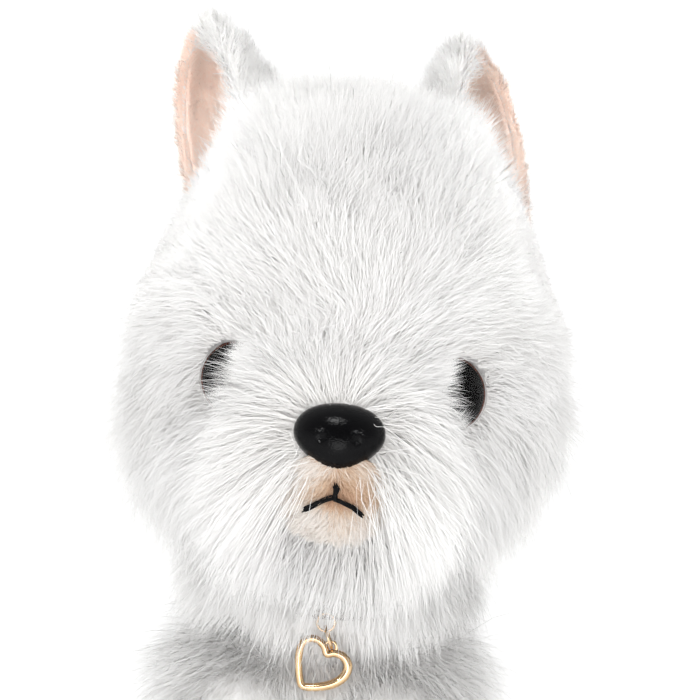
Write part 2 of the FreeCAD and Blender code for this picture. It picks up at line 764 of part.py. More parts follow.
def ear_shell(label, outset, wall, low, low_half_width):
    """A half-round cup, drawn in by an outset from the ear's outside, hollow towards -Y."""
    sides = []
    for inset in (outset, outset + wall):
        shoulder = dim["ear_shoulder_half_width"] - inset
        shoulder_at = dim["ear_shoulder_at"] - inset / 2
        tip = dim["ear_length"] - inset
        sides.append([
            (low_half_width - inset, low),
            (dim["ear_half_width"] - inset, dim["ear_wide_at"]),
            (shoulder, shoulder_at),
            (ZERO, tip, dome_round(shoulder, tip - shoulder_at)),
        ])
    outer, inner = sides
    crown_round = inner[3][2]
    back_down = [inner[3][:2], (inner[2][0], inner[2][1], -crown_round), inner[1], inner[0]]
    return turned_body(label, outer + back_down, 180)


def make_ear(name, side):
    """A furry cup on a round root, and the short-pile lining inside it."""
    root = ear_spot(side)
    turn = ear_turn(side)
    guard = ball(dim["head_radius"] + dim["ear_clear"], HEAD)
    wall = place(ear_shell(name + "_ear_wall", ZERO, dim["ear_wall"], dim["ear_low"],
                           dim["ear_low_half_width"]), root, turn)
    floor_top = dim["ear_floor_at"] + dim["ear_wall"]
    floor = turned_body(name + "_ear_floor", [
        (ZERO, dim["ear_floor_at"]),
        (dim["ear_low_half_width"], dim["ear_floor_at"]),
        (dim["ear_low_half_width"], floor_top),
        (ZERO, floor_top),
    ], 180)
    place(floor, root, turn)
    cup = without(fused(wall, floor), guard)
    keep(fused(cup, ball(dim["ear_root_radius"], root)), name + "_ear_back")
    lining = ear_shell(name + "_ear_lining_cup", dim["ear_wall"] + dim["fill_gap"] / 2, dim["lining_wall"],
                       floor_top + dim["fill_gap"], dim["ear_half_width"] - dim["lining_tuck"])
    keep(without(place(lining, root, turn), guard), name + "_ear_lining")


def make_front_leg(name, side):
    keep(without(front_leg_form(side, ZERO), front_leg_form(side, dim["limb_wall"])), name + "_front_leg_skin")
    keep(front_leg_form(side, dim["limb_wall"] + dim["fill_gap"]), name + "_front_leg_stuffing")
    toes = spot(dim["paw_x"], dim["paw_y"] - dim["toe_reach"], dim["toe_z"], side)
    make_toe_stitches(name + "_front_toe_stitches", toes, dim["toe_radius"])


def hind_leg_form(name, side, inset):
    """A round flat thigh with a foot lying forward from it, drawn in by an inset."""
    outer = dim["thigh_radius"] - inset
    top = dim["thigh_thick"] - inset
    curve = dim["thigh_round"] - inset
    thigh = turned_body(name, [
        (ZERO, ZERO + inset),
        (outer, ZERO + inset),
        (outer, top - curve),
        (outer - curve, top, curve),
        (ZERO, top),
    ])
    place(thigh, spot(dim["thigh_inner_x"], dim["hip_y"], dim["hip_z"], side),
          FreeCAD.Rotation(FreeCAD.Vector(0, 1, 0), 90 * side))
    return fused(thigh, hind_foot_form(name + "_foot", side, inset))


def hind_foot_form(name, side, inset):
    """A foot with round ends, lying forward from the heel, drawn in by an inset."""
    heel = dim["foot_heel_radius"] - inset
    toes = dim["foot_toe_radius"] - inset
    reach = dim["foot_heel_y"] - dim["foot_toe_y"]
    foot = turned_body(name, [
        (ZERO, ZERO - heel),
        (heel, ZERO, heel),
        (toes, reach),
        (ZERO, reach + toes, toes),
    ])
    start = spot(dim["foot_x"], dim["foot_heel_y"], dim["foot_z"], side)
    return place(foot, start, FreeCAD.Rotation(UPWARD, FreeCAD.Vector(0, -1, 0)))


def make_hind_leg(name, side):
    wall = dim["limb_wall"]
    outside = hind_leg_form(name + "_thigh_outside", side, ZERO)
    inside = hind_leg_form(name + "_thigh_inside", side, wall)
    keep(without(outside, inside), name + "_hind_leg_skin")
    keep(hind_leg_form(name + "_thigh_filling", side, wall + dim["fill_gap"]), name + "_hind_leg_stuffing")
    toes = spot(dim["foot_x"], dim["foot_toe_y"], dim["foot_z"], side)
    make_toe_stitches(name + "_hind_toe_stitches", toes, dim["foot_toe_radius"])


def make_toe_stitches(label, centre, radius):
    """Three threads down the front of the toes."""
    threads = []
    for turn in (-1, 0, 1):
        aim = aimed(turn * float(dim["toe_stitch_turn"]), float(dim["toe_stitch_top"]))
        threads.append(lying_arc(centre, radius + dim["thread_radius"], dim["toe_stitch"], aim, 0, 0))
    keep(grouped(threads), label)


def make_tail():
    wall = dim["limb_wall"]
    forms = []
    for inset in (ZERO, wall, wall + dim["fill_gap"]):
        forms.append(tapered_limb(TAIL, dim["tail_root_radius"] - inset,
                                  TAIL_TIP, dim["tail_tip_radius"] - inset))
    keep(without(forms[0], forms[1]), "tail_skin")
    keep(forms[2], "tail_stuffing")


def make_collar():
    """The strap, its buckle frame at the nape and the small loop at the throat."""
    inner = dim["neck_radius"] + dim["collar_gap"]
    outer = inner + dim["collar_thick"]
    strap = turned_body("collar_strap", ring_outline(inner, outer, ZERO, dim["collar_height"]))
    keep(place(strap, (ZERO, dim["neck_y"], dim["collar_base"])), "collar_strap")

    middle = dim["collar_base"] + dim["collar_height"] / 2
    behind = dim["neck_y"] + outer + dim["fill_gap"] / 3
    frame = block(dim["buckle_width"], dim["buckle_thick"], dim["buckle_height"],
                  (-dim["buckle_width"] / 2, behind, middle - dim["buckle_height"] / 2))
    window = (dim["buckle_width"] - dim["buckle_bar"] * 3) / 2
    opening_height = dim["buckle_height"] - dim["buckle_bar"] * 2
    windows = []
    for left_edge in (-window - dim["buckle_bar"] / 2, dim["buckle_bar"] / 2):
        windows.append(block(window, dim["buckle_thick"] * 3, opening_height,
                             (left_edge, behind - dim["buckle_thick"], middle - opening_height / 2)))
    keep(without(frame, *windows), "collar_buckle")

    hoop = wire_arc(dim["loop_radius"], dim["loop_wire"], WHOLE_TURN,
                    (ZERO, throat(), dim["collar_base"] - dim["loop_drop"]),
                    FreeCAD.Rotation(FreeCAD.Vector(1, 0, 0), 90))
    keep(hoop, "collar_loop")


def throat():
    """Where the loop, ring and charm hang, in front of the neck."""
    strap_front = dim["neck_y"] - dim["neck_radius"] - dim["collar_gap"] - dim["collar_thick"]
    return strap_front - dim["loop_wire"]


def ring_top():
    """The top of the jump ring's wire, lying in the bottom of the loop."""
    rise = dim["loop_wire"] + dim["ring_wire"] + dim["link_play"]
    return (ZERO, throat(), dim["collar_base"] - dim["loop_drop"] - dim["loop_radius"] + rise)


def ring_lean():
    """The jump ring leans so that the lopsided charm hangs in balance."""
    return FreeCAD.Rotation(FreeCAD.Vector(0, 1, 0), -float(dim["ring_lean"]))


def charm_top():
    """The top of the eyelet's wire, lying in the bottom of the jump ring."""
    reach = dim["ring_radius"] * 2 - dim["ring_wire"] - dim["eyelet_wire"] - dim["link_play"]
    return along(ring_top(), ring_lean(), -reach)


def make_jump_ring():
    upright = ring_lean().multiply(FreeCAD.Rotation(FreeCAD.Vector(0, 1, 0), 90))
    centre = along(ring_top(), ring_lean(), -dim["ring_radius"])
    keep(wire_arc(dim["ring_radius"], dim["ring_wire"], WHOLE_TURN, centre, upright), "jump_ring")


def heart_outline(inset):
    """Two round lobes and a point; the inset draws the whole outline in by the width of the bar."""
    lobe = dim["heart_lobe"] - inset
    split = dim["heart_split"]
    end = split + lobe
    side = dim["heart_side_round"] - inset
    point = -(dim["heart_drop"] - inset * dim["heart_point_share"])
    lower = [(-end, ZERO, lobe), (ZERO, point, side), (end, ZERO, side)]
    notch = heart_notch()
    if float(inset) == 0:
        return lower + [(ZERO, notch, lobe)]
    share = lobe / dim["heart_lobe"]
    across = split - share * split
    up = share * notch
    return [(-across, up, -inset)] + lower + [(across, up, lobe)]


def heart_notch():
    """Height of the notch between the lobes, above their centres."""
    rise = math.sqrt(float(dim["heart_lobe"]) ** 2 - float(dim["heart_split"]) ** 2)
    return Size("sqrt(Sizes.heart_lobe ^ 2 - Sizes.heart_split ^ 2)", rise)


def make_heart_charm():
    """An open heart that hangs askew from an eyelet at its notch."""
    upright = FreeCAD.Rotation(FreeCAD.Vector(1, 0, 0), 90)
    askew = FreeCAD.Rotation(FreeCAD.Vector(0, 1, 0), float(dim["heart_tilt"])).multiply(upright)
    eyelet_centre = along(charm_top(), ring_lean(), -dim["eyelet_radius"])
    eyelet = wire_arc(dim["eyelet_radius"], dim["eyelet_wire"], WHOLE_TURN, eyelet_centre, upright)

    heart = padded_body("heart_frame", heart_outline(ZERO), dim["heart_thick"])
    pocket = heart.newObject("PartDesign::Pocket", "opening")
    pocket.Profile = outline_sketch(heart, "XY_Plane", heart_outline(dim["heart_bar"]))
    bind(pocket, "Length", dim["heart_thick"] * 2)
    pocket.Midplane = True
    down = askew.multVec(FreeCAD.Vector(0, 1, 0))
    reach = float(heart_notch() + dim["eyelet_radius"])
    centre = tuple(part - reach * round(step, DIGITS) for part, step in zip(eyelet_centre, tuple(down)))
    place(heart, (centre[0], centre[1] + dim["heart_thick"] / 2, centre[2]), askew)
    keep(fused(heart, eyelet), "heart_charm")


def write_parts():
    """Check every object, then write each sub-part to its own file."""
    doc.recompute()
    for item in doc.Objects:
        if "Invalid" in item.State or "Error" in item.State:
            raise RuntimeError(item.Name + " did not build: " + str(item.State))
    os.makedirs("parts", exist_ok=True)
    for item in finished:
        if item.Shape.isNull() or not item.Shape.isValid() or not item.Shape.Solids:
            raise RuntimeError(item.Label + " is not a valid solid")
        item.Shape.exportStep("parts/" + item.Label + ".step")
        print(item.Label, len(item.Shape.Solids), round(item.Shape.Volume, 1))


make_torso()
make_closing_stitches()
make_care_label()
make_neck()
make_head()
make_nose()
make_muzzle_patch()
make_mouth()
for side_name, side_sign in SIDES:
    make_eye(side_name, side_sign)
    make_ear(side_name, side_sign)
    make_front_leg(side_name, side_sign)
    make_hind_leg(side_name, side_sign)
make_tail()
make_collar()
make_jump_ring()
make_heart_charm()
write_parts()
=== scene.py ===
"""The looks of a seated plush dog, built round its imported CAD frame. Metres; the dog faces -Y, +Z is up."""

import math
from collections import namedtuple

import bmesh
import bpy
import numpy as np
from mathutils import Euler, Matrix, Vector
from mathutils.kdtree import KDTree


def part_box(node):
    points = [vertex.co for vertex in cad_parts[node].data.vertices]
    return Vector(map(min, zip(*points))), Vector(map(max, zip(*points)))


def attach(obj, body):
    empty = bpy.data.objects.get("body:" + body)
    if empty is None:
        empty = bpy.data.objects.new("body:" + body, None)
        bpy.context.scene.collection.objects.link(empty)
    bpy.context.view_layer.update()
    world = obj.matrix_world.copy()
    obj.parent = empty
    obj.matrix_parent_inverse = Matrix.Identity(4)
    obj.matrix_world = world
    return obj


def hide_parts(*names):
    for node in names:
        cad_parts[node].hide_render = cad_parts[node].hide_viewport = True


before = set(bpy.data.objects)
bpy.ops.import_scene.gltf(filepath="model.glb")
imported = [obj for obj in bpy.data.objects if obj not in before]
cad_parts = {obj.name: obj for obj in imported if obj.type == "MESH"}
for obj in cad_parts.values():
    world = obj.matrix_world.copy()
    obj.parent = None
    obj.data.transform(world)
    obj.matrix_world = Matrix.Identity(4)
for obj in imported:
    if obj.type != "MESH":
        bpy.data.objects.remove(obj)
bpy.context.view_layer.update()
dice = np.random.default_rng(11)

MM = 0.001
UP = np.array((0.0, 0.0, 1.0))
SIDES = {"left": 1, "right": -1}


# ---------------------------------------------------------------- small helpers

Ball = namedtuple("Ball", "centre radius")


def place(x, y, z):
    """A point given in millimetres."""
    return np.array((x, y, z), float) * MM


def unit(vectors):
    """Vectors, each scaled to length 1."""
    return vectors / np.maximum(np.linalg.norm(vectors, axis=-1, keepdims=True), 1e-12)


def ramp(values, low, high):
    """0 below low, 1 above high and smooth between."""
    share = np.clip((values - low) / (high - low), 0, 1)
    return share * share * (3 - 2 * share)


def along_surface(vectors, normals):
    """What is left of vectors once their part along the normals is taken away, at length 1."""
    flat = vectors - normals * np.sum(vectors * normals, axis=-1, keepdims=True)
    return unit(flat)


def ripple(points, spacing, seed):
    """Smooth noise from -1 to 1 over space, with bumps about `spacing` metres apart."""
    waves = np.random.default_rng(seed)
    total = np.zeros(len(points))
    for _ in range(6):
        direction = unit(waves.normal(size=3)) * (2 * math.pi / spacing) * waves.uniform(0.3, 0.9)
        total += np.sin(points @ direction + waves.uniform(0, 2 * math.pi))
    return total / 3


def span_of(node):
    """The low and high corners of a CAD node's box."""
    low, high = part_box(node)
    return np.array(low), np.array(high)


def middle(node):
    """The centre of a CAD node's box."""
    low, high = span_of(node)
    return (low + high) / 2


def in_scene(name, data):
    """A new object of some data, linked into the scene."""
    made = bpy.data.objects.new(name, data)
    bpy.context.scene.collection.objects.link(made)
    return made


def grid_faces(rows, columns, closed=False):
    """Quads between neighbouring rows of vertices; closed rows run right round."""
    faces = []
    for row in range(rows - 1):
        for column in range(columns if closed else columns - 1):
            first = row * columns + column
            after = row * columns + (column + 1) % columns
            faces.append((first, after, after + columns, first + columns))
    return faces


# ---------------------------------------------------------------- driving places

head_low, head_high = span_of("head_skin")
skull_radius = (head_high[0] - head_low[0]) / 2
SKULL = Ball(np.array((0, head_high[1] - skull_radius, head_high[2] - skull_radius)), skull_radius)
MUZZLE = Ball(place(0, -48, 146), 22 * MM)
NECK = Ball(place(0, -7, 112), 27 * MM)
CHEST = Ball(place(0, 1, 70), 36 * MM)
RUMP = Ball(place(0, 12, 28), 40 * MM)
NOSE = middle("nose")
EYES = {side: middle(side + "_eye_pupil") for side in SIDES}
EYE_TURN = math.radians(24)


def eye_axis(side):
    """The direction an eye looks in."""
    return np.array((SIDES[side] * math.sin(EYE_TURN), -math.cos(EYE_TURN), 0))


# ---------------------------------------------------------------- body places

SHOULDER = place(18, -26, 76)
ANKLE = place(16, -51, 12.8)
FRONT_TOES = place(16, -60, 12)
HEEL = place(44.6, 0, 13.2)
HIND_TOES = place(44.6, -58, 13.2)
THIGH = place(42, 8, 27)
THIGH_SIZE = place(11.5, 25, 25)
TAIL_ROOT = Ball(place(0, 57, 36), 8 * MM)
TAIL_TIP = Ball(place(0, 72, 74), 5 * MM)
FLOOR_GAP = 0.4 * MM


def mirrored(point, side):
    """A point on the dog's left, taken to either side."""
    return point * np.array((SIDES[side], 1, 1))


def front_leg_limbs(side):
    """The shin and the paw of a front leg."""
    shoulder = Ball(mirrored(SHOULDER, side), 13 * MM)
    ankle = Ball(mirrored(ANKLE, side), 12.4 * MM)
    toes = Ball(mirrored(FRONT_TOES, side), 11.6 * MM)
    return [(shoulder, ankle), (ankle, toes)]


def hind_foot_limbs(side):
    """The foot of a hind leg."""
    return [(Ball(mirrored(HEEL, side), 12 * MM), Ball(mirrored(HIND_TOES, side), 12.8 * MM))]


def in_limb(points, limb, spare=0.0):
    """Whether points lie inside a tapered limb grown by a spare."""
    first, second = limb
    span = second.centre - first.centre
    share = np.clip((points - first.centre) @ span / (span @ span), 0, 1)
    radius = first.radius + (second.radius - first.radius) * share + spare
    return np.linalg.norm(points - first.centre - share[:, None] * span, axis=1) < radius


def in_ball(points, ball, spare=0.0):
    """Whether points lie inside a ball grown by a spare."""
    return np.linalg.norm(points - ball.centre, axis=1) < ball.radius + spare


def in_thigh(points, side):
    """Whether points lie inside a thigh."""
    away = (points - mirrored(THIGH, side)) / THIGH_SIZE
    return np.linalg.norm(away, axis=1) < 1


# ---------------------------------------------------------------- materials


def new_material(name, roughness=0.6, **inputs):
    """A material with one Principled shader, whose plain numbers are set on its own sockets."""
    material = bpy.data.materials.new(name)
    material.use_nodes = True
    shader = material.node_tree.nodes["Principled BSDF"]
    shader.inputs["Roughness"].default_value = roughness
    for socket, value in inputs.items():
        shader.inputs[socket.replace("_", " ")].default_value = value
    return material, material.node_tree, shader


def node(tree, kind, **settings):
    """A shader node with its settings."""
    made = tree.nodes.new(kind)
    for name, value in settings.items():
        setattr(made, name, value)
    return made


def colour_ramp(tree, factor, stops):
    """A colour ramp fed by a socket; stops are (position, colour)."""
    made = node(tree, "ShaderNodeValToRGB")
    elements = made.color_ramp.elements
    while len(elements) < len(stops):
        elements.new(0.5)
    for element, (position, colour) in zip(elements, stops):
        element.position = position
        element.color = (*colour, 1)
    tree.links.new(factor, made.inputs["Fac"])
    return made.outputs["Color"]


def paint(tree, shader, factor, stops):
    """Gives a shader its base colour by a colour ramp."""
    tree.links.new(colour_ramp(tree, factor, stops), shader.inputs["Base Color"])


def own_coordinates(tree):
    """The object's own coordinates."""
    return node(tree, "ShaderNodeTexCoord").outputs["Object"]


def stretched(tree, coordinates, scale):
    """Coordinates scaled along each axis."""
    made = node(tree, "ShaderNodeMapping")
    made.inputs["Scale"].default_value = scale
    tree.links.new(coordinates, made.inputs["Vector"])
    return made.outputs["Vector"]


def noise(tree, scale, detail=3, stretch=(1, 1, 1)):
    """Noise over the object's own coordinates."""
    made = node(tree, "ShaderNodeTexNoise")
    made.inputs["Scale"].default_value = scale
    made.inputs["Detail"].default_value = detail
    made.inputs["Roughness"].default_value = 0.55
    tree.links.new(stretched(tree, own_coordinates(tree), stretch), made.inputs["Vector"])
    return made.outputs["Fac"]


def pebbles(tree, scale):
    """The distance to the nearest of many scattered points, over the object's own coordinates."""
    made = node(tree, "ShaderNodeTexVoronoi")
    made.inputs["Scale"].default_value = scale
    tree.links.new(own_coordinates(tree), made.inputs["Vector"])
    return made.outputs["Distance"]


def bump(tree, shader, height, strength, distance):
    """Bumps the shader's surface by a height socket."""
    made = node(tree, "ShaderNodeBump")
    made.inputs["Strength"].default_value = strength
    made.inputs["Distance"].default_value = distance
    tree.links.new(height, made.inputs["Height"])
    tree.links.new(made.outputs["Normal"], shader.inputs["Normal"])


def fibre_material(name, tones, painted_root_shade):
    """Pile fibres: across its map lies each strand's own tone, and up the map its length from root to tip,
    along which painted shade darkens each strand towards its root.
    """
    material, tree, shader = new_material(
        name, roughness=0.75, Sheen_Weight=0.3, Sheen_Roughness=0.4, Specular_IOR_Level=0.25
    )
    strand_map = node(tree, "ShaderNodeUVMap", uv_map="OFBake")
    parts = node(tree, "ShaderNodeSeparateXYZ")
    tree.links.new(strand_map.outputs["UV"], parts.inputs["Vector"])
    tone = colour_ramp(tree, parts.outputs["X"], tones)
    # Painted shade: the colour darkens from the middle of each strand down to its root, standing for the
    # shade deep in the pile.
    length = colour_ramp(tree, parts.outputs["Y"], [(0.0, painted_root_shade), (0.55, (1, 1, 1))])
    mix = node(tree, "ShaderNodeMix", data_type="RGBA", blend_type="MULTIPLY")
    mix.inputs["Factor"].default_value = 1
    tree.links.new(tone, mix.inputs["A"])
    tree.links.new(length, mix.inputs["B"])
    tree.links.new(mix.outputs["Result"], shader.inputs["Base Color"])
    return material


# ---------------------------------------------------------------- fur

SOFTNESS = 3.0  # weight of the skin's normal in a strand's shading
STRAY = 0.28  # random spread of the strands' directions
KINK = 0.5 * MM
STRANDS_A_PIECE = 27000
RINGS = 4
RING_SHARE = np.linspace(0, 1, RINGS)

Pile = namedtuple("Pile", "slot fibre")
Style = namedtuple("Style", "flow lift end_lift length width tone droop")


def vectors_of(items, attribute):
    """A vector attribute of mesh vertices or normals, one row to each."""
    values = np.empty(len(items) * 3)
    items.foreach_get(attribute, values)
    return values.reshape(-1, 3)


def scatter(base, count, keep):
    """About `count` random roots on a mesh, with their normals, as dense as keep(points, normals) says."""
    mesh = base.data
    mesh.calc_loop_triangles()
    corners = np.empty(len(mesh.loop_triangles) * 3, np.int64)
    mesh.loop_triangles.foreach_get("vertices", corners)
    corners = corners.reshape(-1, 3)
    points = vectors_of(mesh.vertices, "co")
    normals = vectors_of(mesh.vertex_normals, "vector")
    a, b, c = (points[corners[:, i]] for i in range(3))
    crossed = np.cross(b - a, c - a)
    chance = np.linalg.norm(crossed, axis=1) * keep((a + b + c) / 3, unit(crossed))
    chosen = dice.choice(len(corners), count, p=chance / chance.sum())
    u = np.sqrt(dice.random(count))[:, None]
    v = dice.random(count)[:, None]
    weights = (1 - u, u * (1 - v), u * v)
    roots = sum(w * points[corners[chosen, i]] for i, w in enumerate(weights))
    facing = unit(sum(w * normals[corners[chosen, i]] for i, w in enumerate(weights)))
    kept = keep(roots, facing) > 0
    return roots[kept], facing[kept]


def strand_paths(roots, normals, style):
    """Points along every strand, from its root to its tip: (strands, rings, 3)."""
    count = len(roots)
    jitter = dice.normal(size=(count, 3)) * STRAY
    start = unit(normals * style.lift[:, None] + style.flow * (1 - style.lift[:, None]) + jitter)
    settled = normals * style.end_lift[:, None] + style.flow * (1 - style.end_lift[:, None])
    end = unit(settled - UP * style.droop[:, None] + jitter)
    steps = RING_SHARE[:-1, None] + 0.5 / (RINGS - 1)
    heading = unit(start[:, None] * (1 - steps) + end[:, None] * steps)
    step = (style.length / (RINGS - 1))[:, None, None]
    walked = np.cumsum(heading * step, axis=1)
    return np.concatenate((roots[:, None], roots[:, None] + walked), axis=1)


def gather(paths, share, pull):
    """Draws neighbouring strands together towards their tips, into one lock for each leader."""
    leaders = dice.choice(len(paths), max(2, int(len(paths) * share)), replace=False)
    tree = KDTree(len(leaders))
    for index, leader in enumerate(leaders):
        tree.insert(paths[leader, 0], index)
    tree.balance()
    nearest = np.array([tree.find(root)[1] for root in paths[:, 0]])
    strength = pull * dice.uniform(0.6, 1.2, len(leaders))[nearest]
    drawn = np.clip(strength[:, None] * RING_SHARE**1.3, 0, 1)[:, :, None]
    return paths * (1 - drawn) + paths[leaders][nearest] * drawn


def frizz(paths):
    """A slight random kink in every strand, growing towards the tip."""
    kinks = dice.normal(size=paths.shape) * KINK
    return paths + kinks * RING_SHARE[None, :, None] ** 0.8


def push_out(paths, balls, margin):
    """Moves strand points that lie inside a ball out to its surface, but leaves the roots."""
    for ball in balls:
        away = paths[:, 1:] - ball.centre
        distance = np.linalg.norm(away, axis=-1, keepdims=True)
        reach = ball.radius + margin
        inside = distance < reach
        paths[:, 1:] = np.where(inside, ball.centre + away / np.maximum(distance, 1e-9) * reach, paths[:, 1:])
    return paths


collar_low, collar_high = span_of("collar_strap")
COLLAR = middle("collar_strap")
COLLAR_LOW = collar_low[2]
COLLAR_HIGH = collar_high[2]
COLLAR_REACH = collar_high[0] + 0.9 * MM
COLLAR_SHADOW = 11 * MM  # height above and below the strap's middle within which fur lies over it


def clear_collar(paths):
    """Moves strand points straight outwards where they would lie inside the collar, but leaves the roots."""
    away = paths[:, 1:, :2] - COLLAR[:2]
    distance = np.maximum(np.linalg.norm(away, axis=-1), 1e-9)
    height = np.abs(paths[:, 1:, 2] - COLLAR[2])
    reach = COLLAR_REACH - 8 * MM * ramp(height, 4.5 * MM, COLLAR_SHADOW)
    reach = np.where(height < COLLAR_SHADOW, reach, 0)
    paths[:, 1:, :2] = COLLAR[:2] + away * np.maximum(reach / distance, 1)[:, :, None]
    return paths


def ribbons(name, paths, normals, widths, tones, material):
    """One mesh of slim tapering blades, one to a strand."""
    count = len(paths)
    heading = unit(np.gradient(paths, axis=1))
    across = unit(np.cross(heading, normals[:, None]))
    other = np.cross(heading, across)
    turn = dice.normal(size=(count, 1, 1)) * 0.45
    side = across * np.cos(turn) + other * np.sin(turn)
    taper = (1 - 0.8 * RING_SHARE[:-1] ** 1.5)[None, :, None]
    half = widths[:, None, None] / 2 * taper * side[:, :-1]
    body = paths[:, :-1]
    edges = np.stack((body - half, body + half), axis=2).reshape(count, -1, 3)
    verts = np.concatenate((edges, paths[:, -1:]), axis=1)
    per_strand = verts.shape[1]
    quads = [(2 * i, 2 * i + 1, 2 * i + 3, 2 * i + 2) for i in range(RINGS - 2)]
    tip = (per_strand - 3, per_strand - 2, per_strand - 1)
    loops = np.array([corner for face in (*quads, tip) for corner in face])
    sizes = np.array([4] * len(quads) + [3])
    starts = np.concatenate(([0], np.cumsum(sizes)[:-1]))
    offsets = np.arange(count)[:, None]

    mesh = bpy.data.meshes.new(name)
    mesh.vertices.add(count * per_strand)
    mesh.vertices.foreach_set("co", verts.astype(np.float32).ravel())
    mesh.loops.add(count * len(loops))
    mesh.loops.foreach_set("vertex_index", (loops[None] + offsets * per_strand).astype(np.int32).ravel())
    mesh.polygons.add(count * len(sizes))
    mesh.polygons.foreach_set("loop_start", (starts[None] + offsets * len(loops)).astype(np.int32).ravel())
    mesh.polygons.foreach_set("use_smooth", np.ones(count * len(sizes), bool))
    mesh.update(calc_edges=True)

    ring_of = np.append(np.repeat(RING_SHARE[:-1], 2), 1.0)
    edge_of = np.append(np.tile((-1.0, 1.0), RINGS - 1), 0.0)
    tone_width = 0.002
    flat = np.empty((count, len(loops), 2), np.float32)
    flat[:, :, 0] = np.clip(tones, 0.01, 0.99)[:, None] + edge_of[loops][None] * tone_width
    flat[:, :, 1] = 0.01 + 0.98 * ring_of[loops][None]
    mesh.uv_layers.new(name="OFBake").data.foreach_set("uv", flat.ravel())
    mesh.materials.append(material)
    soft = np.repeat(normals, per_strand, axis=0) * SOFTNESS
    made = vectors_of(mesh.vertex_normals, "vector")
    mesh.normals_split_custom_set_from_vertices(unit(made + soft))
    return in_scene(name, mesh)


def grow(name, base, body, pile, count, keep, style_of, solids=(), tufts=0.01, locks=0.07):
    """Fur over a base mesh, cut into pieces of at most STRANDS_A_PIECE strands.

    keep(points, normals) says where it grows, and style_of(points, normals) says how it lies. Solids push
    it out. Tufts and the locks in them are given as shares of the count of strands.
    """
    roots, normals = scatter(base, count, keep)
    style = style_of(roots, normals)
    paths = strand_paths(roots, normals, style)
    paths = gather(paths, tufts, 0.25)
    paths = gather(paths, locks, 0.35)
    paths = frizz(paths)
    paths = clear_collar(push_out(paths, solids, 0.3 * MM))
    paths[:, 1:, 2] = np.maximum(paths[:, 1:, 2], FLOOR_GAP)
    parts = np.array_split(np.arange(len(roots)), math.ceil(len(roots) / STRANDS_A_PIECE))
    for number, part in enumerate(parts, start=1):
        piece = ribbons(
            f"{name}_{number}", paths[part], normals[part], style.width[part], style.tone[part], pile.fibre
        )
        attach(piece, body)


# ---------------------------------------------------------------- base forms


def add_ball(mesh, ball, fineness=5):
    """Adds a ball to a bmesh."""
    spot = Matrix.Translation(Vector(ball.centre))
    bmesh.ops.create_icosphere(mesh, subdivisions=fineness, radius=ball.radius, matrix=spot)


def add_limb(mesh, first, second):
    """Adds the hull of two balls to a bmesh, as a tapered limb."""
    limb = bmesh.new()
    for ball in (first, second):
        add_ball(limb, ball, fineness=4)
    hull = bmesh.ops.convex_hull(limb, input=limb.verts)
    bmesh.ops.delete(limb, geom=hull["geom_interior"] + hull["geom_unused"], context="VERTS")
    held = bpy.data.meshes.new("limb")
    limb.to_mesh(held)
    limb.free()
    mesh.from_mesh(held)
    bpy.data.meshes.remove(held)


def settled_mesh(piece):
    """Applies every modifier of a piece to its mesh."""
    depsgraph = bpy.context.evaluated_depsgraph_get()
    applied = bpy.data.meshes.new_from_object(piece.evaluated_get(depsgraph))
    piece.modifiers.clear()
    piece.data = applied
    return piece


def thicken(piece, thickness):
    """Gives a sheet its thickness."""
    shell = piece.modifiers.new("thicken", "SOLIDIFY")
    shell.thickness = thickness
    shell.offset = -1
    settled_mesh(piece)


def pelt(name, balls, limbs, extra=None, voxel=2.5 * MM, rounds=6):
    """A closed base of backing cloth: balls and limbs run together, with softened creases."""
    shape = bmesh.new()
    if extra:
        extra(shape)
    for ball in balls:
        add_ball(shape, ball)
    for first, second in limbs:
        add_limb(shape, first, second)
    mesh = bpy.data.meshes.new(name)
    shape.to_mesh(mesh)
    shape.free()
    piece = in_scene(name, mesh)
    fuse = piece.modifiers.new("fuse", "REMESH")
    fuse.mode = "VOXEL"
    fuse.voxel_size = voxel
    soften = piece.modifiers.new("soften", "SMOOTH")
    soften.iterations = rounds
    soften.factor = 0.5
    settled_mesh(piece)
    for polygon in piece.data.polygons:
        polygon.use_smooth = True
    return piece


# ---------------------------------------------------------------- materials of the pieces

WHITE_TONES = [
    (0.0, (0.975, 0.972, 0.968)),
    (0.6, (0.945, 0.938, 0.925)),
    (0.85, (0.88, 0.86, 0.83)),
    (1.0, (0.78, 0.70, 0.62)),
]
TAN_TONES = [(0.0, (0.94, 0.89, 0.84)), (0.5, (0.76, 0.55, 0.38)), (1.0, (0.50, 0.26, 0.16))]
PEACH_TONES = [(0.0, (1.0, 0.88, 0.79)), (0.5, (1.0, 0.78, 0.66)), (1.0, (1.0, 0.69, 0.55))]


def cloth_material(
    name, dark, light, scale, depth=0.3 * MM, stretch=(1, 1, 1), roughness=0.9, sheen=0.2, shine=0.5
):
    """Cloth or filling, with a fine irregular grain in two tones."""
    material, tree, shader = new_material(name, roughness, Sheen_Weight=sheen, Specular_IOR_Level=shine)
    grain = noise(tree, scale, stretch=stretch)
    paint(tree, shader, grain, [(0.35, dark), (0.65, light)])
    bump(tree, shader, grain, 0.5, depth)
    return material


def woven_material(name, dark, light, pitch, roughness=0.85):
    """Plain weave: two crossing sets of threads, a pitch apart."""
    material, tree, shader = new_material(name, roughness, Sheen_Weight=0.25)
    crossing = node(tree, "ShaderNodeMath", operation="MAXIMUM")
    for number, direction in enumerate(("X", "Y")):
        threads = node(tree, "ShaderNodeTexWave", bands_direction=direction)
        threads.inputs["Scale"].default_value = 0.31 / pitch
        threads.inputs["Distortion"].default_value = 0.6
        tree.links.new(own_coordinates(tree), threads.inputs["Vector"])
        tree.links.new(threads.outputs["Fac"], crossing.inputs[number])
    paint(tree, shader, crossing.outputs["Value"], [(0.3, dark), (0.9, light)])
    bump(tree, shader, crossing.outputs["Value"], 0.6, pitch / 4)
    return material


